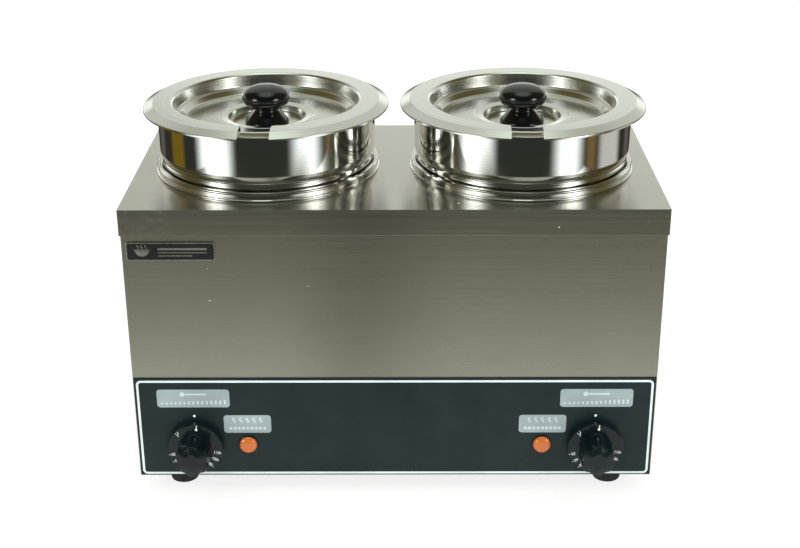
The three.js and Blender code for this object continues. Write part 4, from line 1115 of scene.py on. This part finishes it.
# The table top in front, as the steel sees it: pale near the object and darker farther off.
def makeCard():
    x1, y0, y1 = card["side"], card["far"], card["near"]
    board = meshObject("tableCard", [(-x1, y0, 0.001), (x1, y0, 0.001), (x1, y1, 0.001), (-x1, y1, 0.001)], [(0, 1, 2, 3)])
    material = bpy.data.materials.new("tableCard")
    material.use_nodes = True
    tree = material.node_tree
    tree.nodes.clear()
    parts = addNode(tree, "ShaderNodeSeparateXYZ", {0: addNode(tree, "ShaderNodeTexCoord").outputs["Object"]}).outputs
    colour = mixColour(tree, ramp(tree, parts[1], -0.72, -0.16), card["far radiance"], card["near radiance"])
    shadow = calc(tree, "MULTIPLY", angleBand(tree, parts[0], -0.09, 0.01, 0.05),
                  ramp(tree, parts[1], -0.55, -0.2, 0.75, 0.15))
    colour = mixColour(tree, shadow, colour, (0.10, 0.10, 0.08))
    glow = addNode(tree, "ShaderNodeEmission", {"Color": colour, "Strength": 1.0})
    clear = addNode(tree, "ShaderNodeBsdfTransparent")
    edge = calc(tree, "MULTIPLY", ramp(tree, parts[1], y0 + 0.02, y0 + 0.22),
                angleBand(tree, parts[0], -x1 + 0.2, x1 - 0.2, 0.15))
    mixed = addNode(tree, "ShaderNodeMixShader", {0: edge, 1: clear.outputs[0], 2: glow.outputs[0]})
    addNode(tree, "ShaderNodeOutputMaterial", {0: mixed.outputs[0]})
    board.data.materials.append(material)
    board.visible_camera = board.visible_diffuse = board.visible_shadow = False


# A soft round spot of light, centred on an azimuth and a height in degrees.
def softSpot(tree, azimuth, height, centre, radius):
    across = calc(tree, "DIVIDE", calc(tree, "SUBTRACT", azimuth, centre[0]), radius)
    up = calc(tree, "DIVIDE", calc(tree, "SUBTRACT", height, centre[1]), radius)
    square = calc(tree, "ADD", calc(tree, "MULTIPLY", across, across), calc(tree, "MULTIPLY", up, up))
    return calc(tree, "EXPONENT", calc(tree, "MULTIPLY", square, -0.5))


# What polished steel sees: a dim room in front, two soft boxes with bright cores, warm wood at the sides, white behind.
def makeWorld():
    world = bpy.data.worlds.new("studio")
    bpy.context.scene.world = world
    world.use_nodes = True
    tree = world.node_tree
    tree.nodes.clear()
    way = addNode(tree, "ShaderNodeTexCoord").outputs["Generated"]
    parts = addNode(tree, "ShaderNodeSeparateXYZ", {0: way}).outputs
    azimuth = calc(tree, "MULTIPLY", calc(tree, "ARCTAN2", parts[0], calc(tree, "MULTIPLY", parts[1], -1.0)), 57.2958)
    height = calc(tree, "MULTIPLY", calc(tree, "ARCSINE", parts[2]), 57.2958)
    around = calc(tree, "ABSOLUTE", azimuth)
    above = mixColour(tree, ramp(tree, around, 118, 144), (0.17, 0.16, 0.095), (0.63, 0.65, 0.58))
    left = calc(tree, "MULTIPLY", angleBand(tree, azimuth, -171, -150, 3), ramp(tree, height, 18.4, 20.4, 1.0, 0.0))
    above = mixColour(tree, left, above, (0.27, 0.28, 0.21))
    above = mixColour(tree, calc(tree, "MULTIPLY", ramp(tree, height, 14.2, 16.2, 1.0, 0.0), ramp(tree, around, 90, 130)),
                      above, (1.2, 1.22, 1.17))
    dim = calc(tree, "MULTIPLY", angleBand(tree, height, 14, 64, 6), ramp(tree, around, 118, 142, 1.0, 0.0))
    gloom = mixColour(tree, ramp(tree, around, 62, 95), (0.04, 0.045, 0.036), (0.095, 0.075, 0.022))
    above = mixColour(tree, dim, above, gloom)
    above = mixColour(tree, ramp(tree, height, 62, 80), above, (1.15, 1.32, 1.18))
    below = mixColour(tree, ramp(tree, around, 75, 125), (0.030, 0.033, 0.027), (0.035, 0.032, 0.028))
    below = mixColour(tree, angleBand(tree, around, 134, 150, 4), below, (0.11, 0.10, 0.09))
    below = mixColour(tree, angleBand(tree, azimuth, -115, -94, 3), below, (0.18, 0.12, 0.012))
    below = mixColour(tree, angleBand(tree, azimuth, 68, 80, 4), below, (0.20, 0.13, 0.05))
    low = angleBand(tree, height, -52, 1, 5)
    left = calc(tree, "MULTIPLY", angleBand(tree, azimuth, -71, -35, 8), low)
    right = calc(tree, "MULTIPLY", angleBand(tree, azimuth, 33, 59, 9), low)
    far = calc(tree, "MULTIPLY", angleBand(tree, azimuth, 86, 118, 6), low)
    below = mixColour(tree, calc(tree, "MULTIPLY", far, 0.7), below, (0.85, 0.85, 0.80))
    below = mixColour(tree, calc(tree, "ADD", left, right, clamp=True), below, (1.5, 1.6, 1.6))
    colour = mixColour(tree, ramp(tree, height, -3, 4), below, above)
    cores = calc(tree, "ADD", softSpot(tree, azimuth, height, (-53, 20), 6.5), softSpot(tree, azimuth, height, (53, 20), 6.5))
    colour = mixColour(tree, calc(tree, "MINIMUM", cores, 1.0), colour, (8.0, 8.3, 8.3))
    path = addNode(tree, "ShaderNodeLightPath").outputs
    plain = mixColour(tree, path["Is Glossy Ray"], (1.02, 1.02, 1.0), colour)
    plain = mixColour(tree, path["Is Camera Ray"], plain, (1, 1, 1))
    sky = addNode(tree, "ShaderNodeBackground", {"Color": plain, "Strength": 1.0})
    addNode(tree, "ShaderNodeOutputWorld", {"Surface": sky.outputs[0]})


def makeLight(name, place, target, size, power):
    data = bpy.data.lights.new(name, "AREA")
    data.shape = "SQUARE"
    data.size = size
    data.energy = power
    light = linkObject(name, data)
    light.location = place
    light.rotation_euler = (Vector(target) - Vector(place)).to_track_quat("-Z", "Y").to_euler()
    light.visible_glossy = False
    return light


camera = {"place": (10.16 * mm, -1266.5 * mm, 721.0 * mm), "down": 23.317, "turn": -0.249, "roll": -0.202, "lens": 64.09}


def makeCamera():
    p, y, r = (math.radians(camera[k]) for k in ("down", "turn", "roll"))
    ahead = Vector((math.sin(y) * math.cos(p), math.cos(y) * math.cos(p), -math.sin(p)))
    right = Vector((math.cos(y), -math.sin(y), 0))
    up = right.cross(ahead)
    x = math.cos(r) * right + math.sin(r) * up
    z = -ahead
    v = -math.sin(r) * right + math.cos(r) * up
    data = bpy.data.cameras.new("camera")
    data.lens = camera["lens"]
    data.sensor_width = 36
    data.clip_start = 0.02
    obj = linkObject("camera", data)
    obj.matrix_world = Matrix(((x.x, v.x, z.x, camera["place"][0]), (x.y, v.y, z.y, camera["place"][1]),
                               (x.z, v.z, z.z, camera["place"][2]), (0, 0, 0, 1)))
    bpy.context.scene.camera = obj


makeFloor()
makeCard()
makeWorld()
makeLight("keyLight", (-0.9, -1.1, 1.5), (0, 0, 0.2), 1.0, 9)
makeLight("fillLight", (1.2, -0.7, 1.3), (0, 0, 0.2), 1.2, 6)
makeCamera()
bpy.context.scene.view_settings.view_transform = "Standard"
bpy.context.scene.view_settings.look = "None"
print("studio made")
